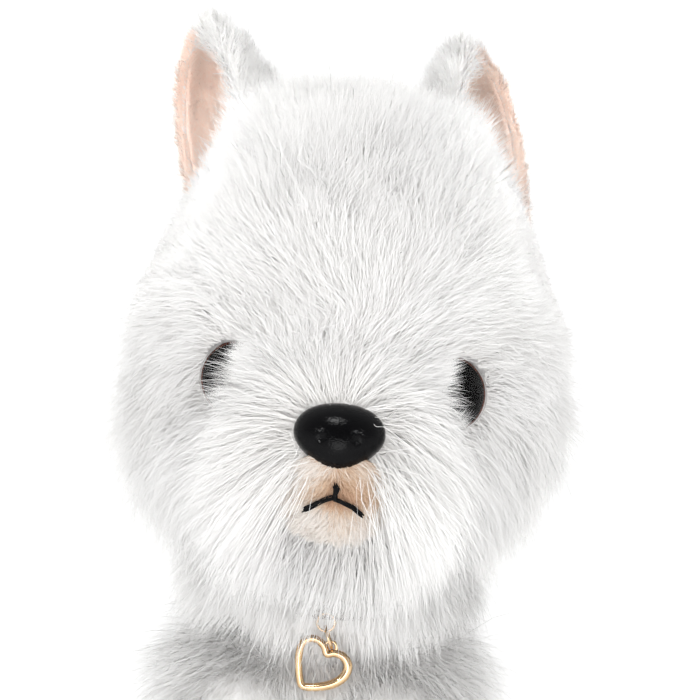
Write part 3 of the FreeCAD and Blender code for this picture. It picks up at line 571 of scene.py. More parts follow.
def gold_material():
    """Polished pale rose gold plate, with slight waves from polishing."""
    material, tree, shader = new_material("polished_gold", roughness=0.1, Metallic=1.0)
    waves = noise(tree, 260, detail=2)
    paint(tree, shader, waves, [(0.3, (0.66, 0.43, 0.22)), (0.7, (0.80, 0.57, 0.34))])
    bump(tree, shader, waves, 0.15, 0.1 * MM)
    return material


def moulded_material(name, dark, light, roughness, shine=0.25):
    """Moulded plastic, a little uneven in tone."""
    material, tree, shader = new_material(name, roughness, Specular_IOR_Level=shine)
    grain = noise(tree, 500, detail=2)
    paint(tree, shader, grain, [(0.35, dark), (0.65, light)])
    bump(tree, shader, grain, 0.05, 0.1 * MM)
    return material


def nose_material():
    """Glossy black plastic with a fine pebble grain, as on a real dog's nose."""
    material, tree, shader = new_material("pebbled_nose", roughness=0.11, Specular_IOR_Level=0.1)
    grain = pebbles(tree, 2600)
    paint(tree, shader, grain, [(0.0, (0.003, 0.003, 0.0035)), (0.8, (0.0015, 0.0015, 0.002))])
    bump(tree, shader, grain, 0.3, 0.1 * MM)
    return material


def iris_material():
    """Dark red-brown iris, with fine fibres from its middle outwards."""
    material, tree, shader = new_material("iris", roughness=0.4, Specular_IOR_Level=0.25)
    ring_map = node(tree, "ShaderNodeUVMap", uv_map="OFBake")
    fibres = node(tree, "ShaderNodeTexNoise")
    fibres.inputs["Scale"].default_value = 3
    tree.links.new(stretched(tree, ring_map.outputs["UV"], (60, 2, 1)), fibres.inputs["Vector"])
    paint(tree, shader, fibres.outputs["Fac"], [(0.3, (0.03, 0.005, 0.002)), (0.7, (0.16, 0.034, 0.010))])
    return material


def clear_material():
    """Clear moulded plastic of the eye caps, a touch smoky."""
    material, tree, shader = new_material("clear_cap", roughness=0.02, IOR=1.14, Transmission_Weight=1.0)
    haze = noise(tree, 90, detail=1)
    paint(tree, shader, haze, [(0.3, (0.96, 0.95, 0.95)), (0.7, (1, 1, 1))])
    return material


def leather_material():
    """Dark brown leather with a pebbled grain and slightly worn tone."""
    material, tree, shader = new_material("collar_leather", roughness=0.5)
    wear = noise(tree, 160, detail=4)
    paint(tree, shader, wear, [(0.3, (0.045, 0.018, 0.010)), (0.75, (0.12, 0.055, 0.03))])
    bump(tree, shader, pebbles(tree, 1100), 0.4, 0.15 * MM)
    return material


# The last colour given to each pile is the painted shade at its strands' roots.
white_pile = Pile("white_pile", fibre_material("white_pile_fibre", WHITE_TONES, (0.97, 0.96, 0.95)))
tan_pile = Pile("tan_pile", fibre_material("tan_pile_fibre", TAN_TONES, (0.85, 0.78, 0.72)))
peach_pile = Pile("peach_pile", fibre_material("peach_pile_fibre", PEACH_TONES, (1.0, 0.97, 0.96)))
backing = cloth_material("knitted_backing", (0.88, 0.87, 0.86), (0.96, 0.955, 0.95), 900)
tan_backing = cloth_material("tan_backing", (0.60, 0.42, 0.29), (0.74, 0.55, 0.40), 900)
peach_backing = cloth_material("peach_backing", (1.0, 0.76, 0.64), (1.0, 0.85, 0.76), 900)
gold = gold_material()
clear = clear_material()
pupil_black = moulded_material("pupil_black", (0.001, 0.001, 0.001), (0.002, 0.002, 0.002), 0.6, shine=0.06)
iris_brown = iris_material()
nose_black = nose_material()
leather = leather_material()
black_thread = cloth_material(
    "black_thread", (0.002, 0.002, 0.002), (0.010, 0.010, 0.011), 2200, roughness=0.7, sheen=0, shine=0.1
)
satin = woven_material("label_satin", (0.80, 0.80, 0.79), (0.93, 0.93, 0.92), 0.22 * MM, roughness=0.45)

# ---------------------------------------------------------------- stuffed pieces


def furry_piece(body, balls=(), limbs=(), **pelt_settings):
    """The backing of a stuffed body, which stands for its CAD skin."""
    base = pelt(body + "_pelt", balls, limbs, **pelt_settings)
    base.data.materials.append(backing)
    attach(base, body)
    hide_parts(body + "_skin")
    return base


def reshape(piece, change):
    """Moves a piece's vertices by a function of their coordinates."""
    points = change(vectors_of(piece.data.vertices, "co"))
    piece.data.vertices.foreach_set("co", points.ravel())
    piece.data.update()


def coat_style(points, normals, flow, lift, length, droop=0.3, settle=0.22, coarse=1.0, tone=0.25):
    """A style with the usual spread of length, width and tone; length is in millimetres."""
    swirl = np.stack([ripple(points, 13 * MM, seed) for seed in (21, 22, 23)], axis=1)
    count = len(points)
    lift = np.clip(np.broadcast_to(lift, count), 0, 0.95)
    length = np.broadcast_to(length, count) * (1 + 0.12 * ripple(points, 12 * MM, 24))
    length = length * dice.uniform(0.55, 1.12, count)
    spread = dice.uniform(-0.2, 0.2, count) + 0.1 * ripple(points, 14 * MM, 25)
    return Style(
        flow=along_surface(unit(flow) + 0.42 * swirl, normals),
        lift=lift,
        end_lift=np.clip(lift - settle, 0.05, 0.9),
        length=length * MM,
        width=dice.uniform(0.13, 0.22, count) * MM * coarse,
        tone=np.clip(tone + spread, 0, 1),
        droop=np.broadcast_to(droop, count),
    )


EYE_KEEP_OUT = {side: Ball(EYES[side] - eye_axis(side) * 6.6 * MM, 11.4 * MM) for side in SIDES}
EYE_SOCKET = 9.3 * MM
PARTING = NOSE + place(0, 6, -4)
BEFORE_EAR = place(44, -19, 201)
PATCH_DROP = math.radians(27)
PATCH_AXIS = np.array((0, -math.cos(PATCH_DROP), -math.sin(PATCH_DROP)))


def off_axis(points, centre, axis):
    """Distance of points from a line through centre along axis."""
    away = points - centre
    return np.linalg.norm(away - np.outer(away @ axis, axis), axis=1)


def apart(points, centre):
    """Distance of points from a centre."""
    return np.linalg.norm(points - centre, axis=1)


def downwards(points, normals):
    """The way down along the surface."""
    return along_surface(np.broadcast_to(-UP, points.shape), normals)


def beneath_nose(points, half_width, half_height):
    """Whether points lie in an upright ellipse behind the nose."""
    away = points - NOSE
    return (away[:, 0] / half_width) ** 2 + (away[:, 2] / half_height) ** 2 < 1


def patch_angle(points):
    """Angle of points from the middle of the muzzle patch, in degrees, seen from the muzzle's centre."""
    return np.degrees(np.arccos(np.clip(unit(points - MUZZLE.centre) @ PATCH_AXIS, -1, 1)))


def head_keep(points, normals):
    """Fur is thicker on the face, and there is none under the eyes, the nose and the muzzle patch."""
    share = 0.6 + 0.4 * ramp(-points[:, 1], -10 * MM, 10 * MM)
    for side in SIDES:
        under = (off_axis(points, EYES[side], eye_axis(side)) < EYE_SOCKET) & (points[:, 1] < 0)
        share = np.where(under, 0, share)
    under_nose = beneath_nose(points, 8.6 * MM, 6.0 * MM) & (points[:, 1] < -55 * MM)
    share = np.where(under_nose, 0, share)
    near = apart(points, MUZZLE.centre) < MUZZLE.radius * 1.1
    share = np.where((patch_angle(points) < 28) & near, 0, share)
    return np.where(in_ball(points, NECK, 1 * MM), 0, share)


def head_style(points, normals):
    """How the head's fur lies: out from the nose over the face, up at the crown and down at the back."""
    x, y, z = (points - SKULL.centre).T
    out = along_surface(points - PARTING, normals)
    down = downwards(points, normals)
    back = ramp(y, 0, 35 * MM)
    beside = ramp(np.abs(x), 22 * MM, 42 * MM) * ramp(-z, -25 * MM, 10 * MM)
    low = ramp(-z, 5 * MM, 30 * MM)
    crown = ramp(z, 15 * MM, 40 * MM)
    muzzle = ramp(-apart(points, MUZZLE.centre), -34 * MM, -22 * MM)
    flow = out * (1 - 0.8 * back)[:, None] + down * (0.8 * back + 0.5 * beside + 0.7 * low)[:, None]
    lift = 0.45 + 0.27 * crown + 0.05 * low - 0.05 * muzzle
    chin = low * ramp(-np.abs(x), -38 * MM, -20 * MM) * ramp(-y, 10 * MM, 35 * MM)
    temple = ramp(np.abs(x), 26 * MM, 44 * MM) * np.exp(-(((z - 15 * MM) / (20 * MM)) ** 2))
    length = 17.5 + 5.5 * crown + 15 * low - 5 * temple + 8 * chin - 7 * muzzle * (1 - low) - 6 * muzzle * low
    length += 4.5 * chin * ripple(points, 15 * MM, 31)
    near_eye = sum(np.exp(-((apart(points, EYES[side]) / (17 * MM)) ** 2)) for side in SIDES)
    beyond_eye = ramp(np.abs(x), 21 * MM, 28 * MM)
    over_eye = points[:, 2] - EYES["left"][2]
    above_eye = ramp(over_eye, 0, 8 * MM)
    below_eye = ramp(-over_eye, 2 * MM, 8 * MM)
    open_side = np.maximum(beyond_eye, 0.85 * np.maximum(above_eye, below_eye))
    length = length * (1 - np.clip(0.8 * near_eye * open_side, 0, 0.75))
    from_ears = [apart(points, mirrored(BEFORE_EAR, side)) for side in SIDES]
    by_ear = np.exp(-((np.minimum(*from_ears) / (24 * MM)) ** 4))
    length = length * (1 - 0.78 * by_ear)
    tone = 0.22 + 0.12 * ramp(-apart(points, NOSE), -26 * MM, -10 * MM)
    droop = 0.15 + 0.35 * beside + 0.5 * low + 0.3 * back
    return coat_style(points, normals, flow, lift, length, droop=droop, tone=tone)


def sink_eyes(points):
    """Presses a round seat for each eye into the head."""
    seat = 2.4 * MM
    for side in SIDES:
        axis = eye_axis(side)
        depth = (points - EYES[side]) @ axis
        inside = (off_axis(points, EYES[side], axis) < 11 * MM) & (depth > -seat) & (points[:, 1] < 0)
        points[inside] -= np.outer(depth[inside] + seat, axis)
    return points


def grow_eye_fringe(base, side, solids):
    """Spiky locks from the muzzle's side, lying over the inner part of an eye."""
    axis = eye_axis(side)
    inward = unit(NOSE + place(0, 10, 2) - EYES[side])

    def keep(points, normals):
        away = points - EYES[side]
        ring = off_axis(points, EYES[side], axis)
        inner = unit(away) @ inward > 0.55
        return (ring > EYE_SOCKET) & (ring < 14 * MM) & inner & (points[:, 1] < -20 * MM)

    def style(points, normals):
        across = along_surface(EYES[side] - inward * 2 * MM - points, normals)
        out = along_surface(points - PARTING, normals)
        return coat_style(points, normals, across + out, 0.4, 11.5, droop=0.05, coarse=0.8, tone=0.15)

    grow(side + "_eye_fringe", base, "head", white_pile, 6500, keep, style, solids, tufts=0.012, locks=0.05)


def make_head():
    """The head's backing and its long white pile."""
    base = furry_piece("head", [SKULL, MUZZLE], rounds=16)
    solids = [SKULL, MUZZLE, *EYE_KEEP_OUT.values()]
    grow("head_pile", base, "head", white_pile, 200000, head_keep, head_style, solids)
    for side in SIDES:
        grow_eye_fringe(base, side, solids)
    reshape(base, sink_eyes)


def flatten_rump(points):
    """Flattens the rump beside the thighs and under the seat."""
    half = 30.4 * MM
    beside = points[:, 2] < 52.4 * MM
    points[beside, 0] = np.clip(points[beside, 0], -half, half)
    points[:, 2] = np.maximum(points[:, 2], 2.3 * MM)
    return points


def torso_keep(points, normals):
    """No fur under the seat, in the neck, or where the legs and tail join."""
    bare = (normals[:, 2] < -0.6) & (points[:, 2] < 6 * MM)
    bare |= in_ball(points, NECK, 0.5 * MM)
    bare |= in_ball(points, TAIL_ROOT)
    for side in SIDES:
        bare |= in_thigh(points, side)
        for limb in front_leg_limbs(side):
            bare |= in_limb(points, limb)
    return ~bare


def torso_style(points, normals):
    """Body fur runs down and outwards, fuller on the chest."""
    x, y, z = points.T
    outward = np.stack((x, y - CHEST.centre[1], np.zeros(len(x))), axis=1)
    high = ramp(z, 55 * MM, 90 * MM)
    flow = along_surface(-UP + outward / (60 * MM), normals)
    at_charm = np.exp(-((apart(points, middle("heart_charm")) / (13 * MM)) ** 2))
    lift = 0.38 + 0.24 * high - 0.4 * at_charm
    beside = ramp(np.abs(normals[:, 0]), 0.3, 0.8)
    length = 14 + 6 * high + 8 * high * beside - 9 * at_charm
    return coat_style(points, normals, flow, lift, length, droop=0.35)


def make_torso():
    """Chest and rump."""
    base = furry_piece("torso", [CHEST, RUMP], rounds=10)
    reshape(base, flatten_rump)
    grow("torso_pile", base, "torso", white_pile, 52000, torso_keep, torso_style, [CHEST])


def neck_keep(points, normals):
    """Fur above and below the collar, which presses it flat, and none where the charm hangs."""
    z = points[:, 2]
    under_collar = (z > COLLAR_LOW - 3 * MM) & (z < COLLAR_HIGH)
    hidden = (z > 127 * MM) | in_ball(points, CHEST)
    window = (np.abs(points[:, 0]) < 3 * MM) & (points[:, 1] < NECK.centre[1]) & (z > COLLAR_LOW)
    return ~(under_collar | hidden | window)


def neck_style(points, normals):
    """Neck fur hangs over the collar."""
    high = ramp(points[:, 2], COLLAR_LOW, COLLAR_HIGH)
    return coat_style(
        points, normals, downwards(points, normals), 0.15 + 0.4 * high, 12 + 14 * high, droop=0.6
    )


def make_neck():
    """The neck."""
    base = furry_piece("neck", [NECK], voxel=2 * MM, rounds=2)
    grow("neck_pile", base, "neck", white_pile, 32000, neck_keep, neck_style)


FORWARD = np.array((0, -1.0, -0.15))


def sole(points, normals):
    """Where a foot or seat rests on the ground."""
    return (normals[:, 2] < -0.7) & (points[:, 2] < 5 * MM)


def make_front_leg(side):
    """A straight front leg with its paw."""
    limbs = front_leg_limbs(side)
    name = side + "_front_leg"
    base = furry_piece(name, limbs=limbs, voxel=1.8 * MM, rounds=5)

    def keep(points, normals):
        return ~(sole(points, normals) | in_ball(points, CHEST, -3 * MM))

    def style(points, normals):
        low = ramp(-points[:, 2], -30 * MM, -14 * MM)
        shin = unit(limbs[0][1].centre - limbs[0][0].centre)
        flow = along_surface(shin * (1 - low)[:, None] + FORWARD * low[:, None], normals)
        return coat_style(points, normals, flow, 0.4 - 0.1 * low, 12 - 6 * low, droop=0.3 * (1 - low))

    grow(name + "_pile", base, name, white_pile, 13000, keep, style)


def make_hind_leg(side):
    """A round thigh with the foot lying forward."""
    name = side + "_hind_leg"

    def thigh(shape):
        spot = Matrix.Translation(mirrored(THIGH, side)) @ Matrix.Diagonal((*THIGH_SIZE, 1))
        bmesh.ops.create_icosphere(shape, subdivisions=5, radius=1, matrix=spot)

    base = furry_piece(name, limbs=hind_foot_limbs(side), extra=thigh, voxel=2 * MM)

    def keep(points, normals):
        hidden = (points[:, 0] * SIDES[side] < 33 * MM) & (in_ball(points, RUMP) | in_ball(points, CHEST))
        return ~(sole(points, normals) | hidden)

    def style(points, normals):
        foot = ramp(-points[:, 1], 12 * MM, 26 * MM)
        down = np.array((0.15 * SIDES[side], 0.3, -1.0))
        flow = along_surface(down * (1 - foot)[:, None] + FORWARD * foot[:, None], normals)
        return coat_style(points, normals, flow, 0.42 - 0.1 * foot, 14 - 7.5 * foot, droop=0.3 * (1 - foot))

    grow(name + "_pile", base, name, white_pile, 19000, keep, style)


def make_tail():
    """The short upright tail."""
    base = furry_piece("tail", limbs=[(TAIL_ROOT, TAIL_TIP)], voxel=1.5 * MM, rounds=3)
    axis = unit(TAIL_TIP.centre - TAIL_ROOT.centre)

    def keep(points, normals):
        return ~in_ball(points, RUMP)

    def style(points, normals):
        flow = along_surface(np.broadcast_to(axis, points.shape), normals)
        return coat_style(points, normals, flow, 0.5, 13, droop=0)

    grow("tail_pile", base, "tail", white_pile, 8000, keep, style)


# ---------------------------------------------------------------- turned pieces


def add_piece(name, verts, faces, material, body, stands_for, smooth_angle=50, uvs=None):
    """A piece from its vertices and faces, riding on a body and standing for a CAD node."""
    mesh = bpy.data.meshes.new(name)
    mesh.from_pydata([tuple(v) for v in verts], [], faces)
    mesh.materials.append(material)
    mesh.update()
    for polygon in mesh.polygons:
        polygon.use_smooth = True
    mesh.set_sharp_from_angle(angle=math.radians(smooth_angle))
    if uvs is not None:
        layer = mesh.uv_layers.new(name="OFBake")
        for loop in mesh.loops:
            layer.data[loop.index].uv = uvs[loop.vertex_index]
    piece = in_scene(name, mesh)
    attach(piece, body)
    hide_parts(stands_for)
    return piece


def turned(outline, steps=96):
    """Vertices and faces of an outline of (radius, height) turned about Z, closed where the radius is 0."""
    verts = []
    rows = []
    for radius, height in outline:
        if radius < 1e-7:
            rows.append([len(verts)] * steps)
            verts.append((0, 0, height))
            continue
        rows.append(range(len(verts), len(verts) + steps))
        for step in range(steps):
            angle = 2 * math.pi * step / steps
            verts.append((radius * math.cos(angle), radius * math.sin(angle), height))
    faces = []
    for low, high in zip(rows, rows[1:]):
        for step in range(steps):
            after = (step + 1) % steps
            corners = (low[step], low[after], high[after], high[step])
            faces.append(tuple(dict.fromkeys(corners)))
    return np.array(verts, float), [face for face in faces if len(face) > 2]


def aimed(verts, centre, axis):
    """Vertices turned so that +Z looks along axis, and moved to a centre."""
    turn = Vector(axis).to_track_quat("Z", "Y").to_matrix()
    return verts @ np.array(turn).T + centre


def arc_points(radius, start, end, count, centre=(0.0, 0.0)):
    """Points of an arc in degrees, as (radius, height) pairs."""
    angles = np.radians(np.linspace(start, end, count))
    return [(centre[0] + radius * math.cos(a), centre[1] + radius * math.sin(a)) for a in angles]


def make_eye(side):
    """The clear domed cap over a black pupil and a red-brown iris."""
    name = side + "_eye_"
    axis = eye_axis(side)
    front = EYES[side] + axis * 0.3 * MM
    flat = 8.6 * MM

    dome = 11.1 * MM
    rim = 9.0 * MM
    rim_top = 1.6 * MM
    edge = math.acos(rim / dome)
    dome_centre = (0, rim_top - dome * math.sin(edge))
    outline = [(0, 0), (flat, 0), (rim, 0.3 * MM), *arc_points(dome, math.degrees(edge), 90, 28, dome_centre)]
    outline[-1] = (0, outline[-1][1])
    verts, faces = turned(outline)
    verts = aimed(verts, front + axis * 0.25 * MM, axis)
    add_piece(name + "lens", verts, faces, clear, "head", name + "cap", 35)

    disc = 8.1 * MM
    thick = 0.5 * MM
    verts, faces = turned([(0, 0), (disc, 0), (disc, 0.35 * MM), (disc - 0.3 * MM, thick), (0, thick)])
    verts = aimed(verts, front - axis * 0.4 * MM, axis)
    add_piece(name + "disc", verts, faces, pupil_black, "head", name + "pupil")

    hole = 5 * MM
    verts, faces = turned([(hole, 0), (flat, 0), (flat, thick), (hole, 0.7 * MM)])
    around = np.arctan2(verts[:, 1], verts[:, 0]) / (2 * math.pi) + 0.5
    outwards = np.hypot(verts[:, 0], verts[:, 1]) / rim
    uvs = list(zip(around, outwards))
    verts = aimed(verts, front - axis * 0.9 * MM, axis)
    add_piece(name + "ring", verts, faces, iris_brown, "head", name + "iris", uvs=uvs)


NOSE_TILT = math.radians(14)
NOSE_AXIS = np.array((0, -math.cos(NOSE_TILT), math.sin(NOSE_TILT)))


def nostrils(x, z):
    """How deep the nose is dented at a place across and up it."""
    deepest = 0.35 * MM
    away = [math.hypot((x - side * 4.2 * MM) / (0.9 * MM), (z + 1.5 * MM) / (0.8 * MM)) for side in (1, -1)]
    return deepest * sum(math.exp(-(distance**2)) for distance in away)


def make_nose():
    """A rounded triangle, arched at the top, with two shallow nostrils."""
    half_width = 10.7 * MM
    upper = 6.9 * MM
    lower = 8.8 * MM
    thick = 7.4 * MM
    tip_rise = 1.1 * MM
    rings = 28
    steps = 96
    seat = MUZZLE.centre + NOSE_AXIS * 19.6 * MM
    right = np.array((1.0, 0, 0))
    up = np.cross(NOSE_AXIS, right)
    verts = []
    for ring in range(1, rings + 1):
        turn = math.pi / 2 * ring / rings
        reach = math.sin(turn)
        depth = thick * math.cos(turn) ** 0.75
        for step in range(steps):
            angle = 2 * math.pi * step / steps
            across = math.copysign(abs(math.cos(angle)) ** 0.92, math.cos(angle))
            rise = math.copysign(abs(math.sin(angle)) ** 0.95, math.sin(angle))
            below = max(-math.sin(angle), 0)
            x = half_width * reach * across * (1 - 0.36 * below**1.7)
            z = (lower if below else upper) * reach * rise + tip_rise
            verts.append(seat + right * x + up * z + NOSE_AXIS * (depth - nostrils(x, z)))
    tip = len(verts)
    verts.append(seat + NOSE_AXIS * thick + up * tip_rise)
    back = len(verts)
    verts.append(seat - NOSE_AXIS * 1.0 * MM)
    faces = [(tip, (step + 1) % steps, step) for step in range(steps)]
    faces += grid_faces(rings, steps, closed=True)
    rim = (rings - 1) * steps
    faces += [(back, rim + step, rim + (step + 1) % steps) for step in range(steps)]
    faces = [face[::-1] for face in faces]
    add_piece("nose_pad", verts, faces, nose_black, "head", "nose", 80)


FORK_DROP = 20


def muzzle_point(side_angle, drop, radius):
    """A point on a ball round the muzzle, by degrees to the side and degrees below level."""
    a = math.radians(side_angle)
    d = math.radians(drop)
    direction = np.array((math.sin(a) * math.cos(d), -math.cos(a) * math.cos(d), -math.sin(d)))
    return MUZZLE.centre + radius * direction


def make_muzzle_patch():
    """Short tan velour on the muzzle, below the nose."""
    inner = MUZZLE.radius + 0.2 * MM
    outer = MUZZLE.radius + 1.1 * MM
    outline = arc_points(inner, 90, 57, 14) + arc_points(outer, 58, 90, 14)
    outline[0] = (0, inner)
    outline[-1] = (0, outer)
    verts, faces = turned(outline, 72)
    verts = aimed(verts, MUZZLE.centre, PATCH_AXIS)
    base = add_piece("muzzle_velour", verts, faces, tan_backing, "head", "muzzle_patch")
    fork = muzzle_point(0, FORK_DROP, outer)

    def keep(points, normals):
        outside = apart(points, MUZZLE.centre) > outer - 0.2 * MM
        return outside & ~beneath_nose(points, 8 * MM, 6 * MM)

    def style(points, normals):
        away = along_surface(points - (NOSE + place(0, 0, 1)), normals)
        sideways = np.outer(np.sign(points[:, 0]), (0.8, 0, 0))
        near = np.exp(-((apart(points, fork) / (4 * MM)) ** 2))
        pale = 0.35 * ramp(patch_angle(points), 14, 29) + 0.34 * ramp(-points[:, 0], -1 * MM, 4 * MM)
        pale += 0.45 * ramp(fork[2] - points[:, 2], 0, 4 * MM)
        coat = coat_style(points, normals, away + sideways, 0.3, 4.2, droop=0.1, settle=0.12, coarse=0.9)
        spread = dice.uniform(-0.2, 0.2, len(points))
        return coat._replace(tone=np.clip(0.56 + 0.3 * near - pale + spread, 0, 1))

    grow("muzzle_pile", base, "head", tan_pile, 9000, keep, style, locks=0.06)


def tube(points, radius, sides=8):
    """Vertices and faces of a tube along points, tapering at both ends."""
    points = np.array(points)
    heading = unit(np.gradient(points, axis=0))
    across = unit(np.cross(heading, np.array((0.31, 0.2, 0.93))))
    other = np.cross(heading, across)
    count = len(points)
    taper = np.minimum(1, 0.35 + np.minimum(np.arange(count), np.arange(count)[::-1]) / 2)
    verts = []
    for index in range(count):
        for step in range(sides):
            angle = 2 * math.pi * step / sides
            spoke = across[index] * math.cos(angle) + other[index] * math.sin(angle)
            verts.append(points[index] + spoke * radius * taper[index])
    faces = grid_faces(count, sides, closed=True)
    faces.append(tuple(range(sides))[::-1])
    faces.append(tuple(range((count - 1) * sides, count * sides)))
    return verts, faces


def threads_along(lines):
    """Embroidery: along each line lie several slightly wandering threads."""
    strands = 7
    thread = 0.23 * MM
    spread = 0.38 * MM
    verts = []
    faces = []
    for line in lines:
        line = np.array(line)
        share = np.linspace(0, 1, len(line))
        for strand in range(strands):
            start = dice.normal(size=3) * spread
            sway = dice.normal(size=3) * spread
            wander = line + start * 0.7 + np.outer(np.sin(share * math.pi * 2 + strand), sway) * 0.5
            more_verts, more_faces = tube(wander, thread)
            faces += [tuple(corner + len(verts) for corner in face) for face in more_faces]
            verts += more_verts
    return verts, faces


def make_mouth():
    """An inverted Y in black thread: a short thick stem and two falling arms."""
    reach = MUZZLE.radius + 3.6 * MM
    stem = [muzzle_point(0, drop, reach) for drop in np.linspace(FORK_DROP - 8, FORK_DROP, 8)]
    lines = [stem, stem]
    for side in (1, -1):
        shares = np.linspace(0, 1, 16)
        lines.append([muzzle_point(side * 18 * share, FORK_DROP + 9 * share**1.3, reach) for share in shares])
    verts, faces = threads_along(lines)
    add_piece("mouth_embroidery", verts, faces, black_thread, "head", "mouth_stitches")


# ---------------------------------------------------------------- ears


def ear_frame(side):
    """Rotation and root of an ear: its own Z runs up the ear, and its hollow looks along its own -Y."""
    lean = Matrix.Rotation(math.radians(-12), 3, "Y")
    turn = Matrix.Rotation(SIDES[side] * math.radians(52), 3, "Z")
    return np.array(lean @ turn), mirrored(place(37, 4, 211.6), side)


def ear_radius(height):
    """Half width of the ear at a height above its root, in millimetres."""
    heights = np.array((-8, 0, 8, 18, 27, 35, 40, 42.5))
    widths = np.array((14.0, 15.6, 16.6, 16.8, 14.4, 10.4, 6.2, 1.6))
    return np.interp(height, heights, widths)


def ear_sheet(name, side, heights, inset, thick, material, slot, stands_for, spread=90):
    """A cupped sheet of the ear, drawn in by an inset; sizes in millimetres, spread in degrees."""
    turn, root = ear_frame(side)
    angles = np.radians(np.linspace(90 - spread, 90 + spread, 37))
    smooth_heights = np.linspace(*heights, 40)
    widths = np.convolve(np.pad(ear_radius(smooth_heights), 3, mode="edge"), np.ones(7) / 7, mode="valid")
    verts = []
    for height, width in zip(smooth_heights, widths - inset):
        for angle in angles:
            verts.append((width * math.cos(angle), width * math.sin(angle), height))
    verts = np.array(verts) * MM @ turn.T + root
    faces = grid_faces(len(smooth_heights), len(angles))
    piece = add_piece(side + name, verts, faces, material, side + "_ear", side + stands_for)
    thicken(piece, thick * MM)
    return piece


def ear_local(points, side):
    """Points in the ear's own frame."""
    turn, root = ear_frame(side)
    return (points - root) @ turn


def make_ear(side):
    """A furry cup, white outside and on its rim, with a peach lining of short pile."""
    body = side + "_ear"
    turn, _ = ear_frame(side)
    white = (backing, white_pile.slot, "_ear_back")
    peach = (peach_backing, peach_pile.slot, "_ear_lining")
    shell = ear_sheet("_ear_shell", side, (-8, 42.5), 0, 2.6, *white)
    lining = ear_sheet("_ear_inner", side, (-6, 39.5), 2.9, 1.0, *peach, spread=87)
    tip = turn @ UP

    def facing_out(points, normals):
        radial = unit(ear_local(points, side)[:, :2])
        return np.sum(radial * (normals @ turn)[:, :2], axis=1)

    def shell_keep(points, normals):
        local = ear_local(points, side)
        front_rim = (local[:, 1] < 1.2 * MM) & (local[:, 0] * SIDES[side] < 0)
        return (facing_out(points, normals) > 0.2) | front_rim

    def shell_style(points, normals):
        local = ear_local(points, side)
        behind = ramp(local[:, 0] * SIDES[side], -2 * MM, 9 * MM)
        low = ramp(-local[:, 2], -14 * MM, 2 * MM) * (1 - behind)
        flow = along_surface(np.broadcast_to(tip, points.shape), normals)
        length = 10 + 4 * low - 5 * behind
        return coat_style(points, normals, flow, 0.45 - 0.25 * behind, length, droop=0.0, settle=0.15)

    def edge_keep(points, normals):
        local = ear_local(points, side)
        return (local[:, 1] < 0.8 * MM) & (local[:, 0] * SIDES[side] > 0)

    def lining_keep(points, normals):
        return facing_out(points, normals) < -0.3

    def lining_style(points, normals):
        flow = along_surface(np.broadcast_to(tip, points.shape), normals)
        return coat_style(points, normals, flow, 0.4, 3.8, droop=0.0, settle=0.1, tone=0.3)

    grow(side + "_ear_pile", shell, body, white_pile, 17000, shell_keep, shell_style)
    grow(side + "_ear_edge", shell, body, peach_pile, 2500, edge_keep, lining_style)
    grow(side + "_ear_velour", lining, body, peach_pile, 9000, lining_keep, lining_style, locks=0.05)


# ---------------------------------------------------------------- collar and charm


def make_collar():
    """A leather strap with rounded edges."""
    round_edge = 0.7 * MM
    wall_middle = (collar_high[0] - collar_low[0]) / 2 - round_edge
    tall = COLLAR_HIGH - COLLAR_LOW
    bottom = arc_points(round_edge, 180, 360, 9, (wall_middle, round_edge))
    top = arc_points(round_edge, 0, 180, 9, (wall_middle, tall - round_edge))
    verts, faces = turned([*bottom, *top, bottom[0]], 160)
    verts = verts + (*COLLAR[:2], COLLAR_LOW)
    add_piece("collar_band", verts, faces, leather, "collar", "collar_strap")


HEART = [
    (0.3, 1.2), (1.5, 3.0), (4.2, 3.6), (6.6, 2.2), (7.2, -0.6), (6.0, -3.6), (3.4, -6.4), (0.6, -8.4),
    (-0.6, -8.4), (-2.9, -6.0), (-5.0, -3.2), (-6.3, -0.4), (-5.9, 2.0), (-3.8, 3.2), (-1.2, 2.8),
]
HEART_TILT = Matrix.Rotation(math.radians(32), 3, "Y")


def bent_wire(loop, wire, swell):
    """A mesh of round wire along a closed loop of (x, z) in millimetres, thicker on one side by a swell."""
    curve = bpy.data.curves.new("wire", "CURVE")
    curve.dimensions = "3D"
    spline = curve.splines.new("NURBS")
    spline.points.add(len(loop) - 1)
    for control, (x, z) in zip(spline.points, loop):
        control.co = (*(HEART_TILT @ Vector((x * MM, 0, z * MM))), 1)
        control.radius = 1 + swell * max(x, 0) / 7
    spline.use_cyclic_u = True
    spline.order_u = 3
    spline.resolution_u = 10
    curve.bevel_depth = wire * MM
    curve.bevel_resolution = 8
    holder = bpy.data.objects.new("wire", curve)
    mesh = bpy.data.meshes.new_from_object(holder)
    bpy.data.objects.remove(holder)
    return mesh


def make_heart():
    """An open heart of round polished wire under its eyelet, hung askew."""
    eyelet = arc_points(1.55, 0, 360, 13, (0, 3.4))[:-1]
    verts = []
    faces = []
    for mesh in (bent_wire(HEART, 0.95, 0.25), bent_wire(eyelet, 0.45, 0)):
        faces += [tuple(corner + len(verts) for corner in polygon.vertices) for polygon in mesh.polygons]
        verts += [np.array(vertex.co) for vertex in mesh.vertices]
    verts = np.array(verts)
    shift = middle("heart_charm") - (verts.max(axis=0) + verts.min(axis=0)) / 2
    add_piece("heart_wire", verts + shift, faces, gold, "charm", "heart_charm", 70)


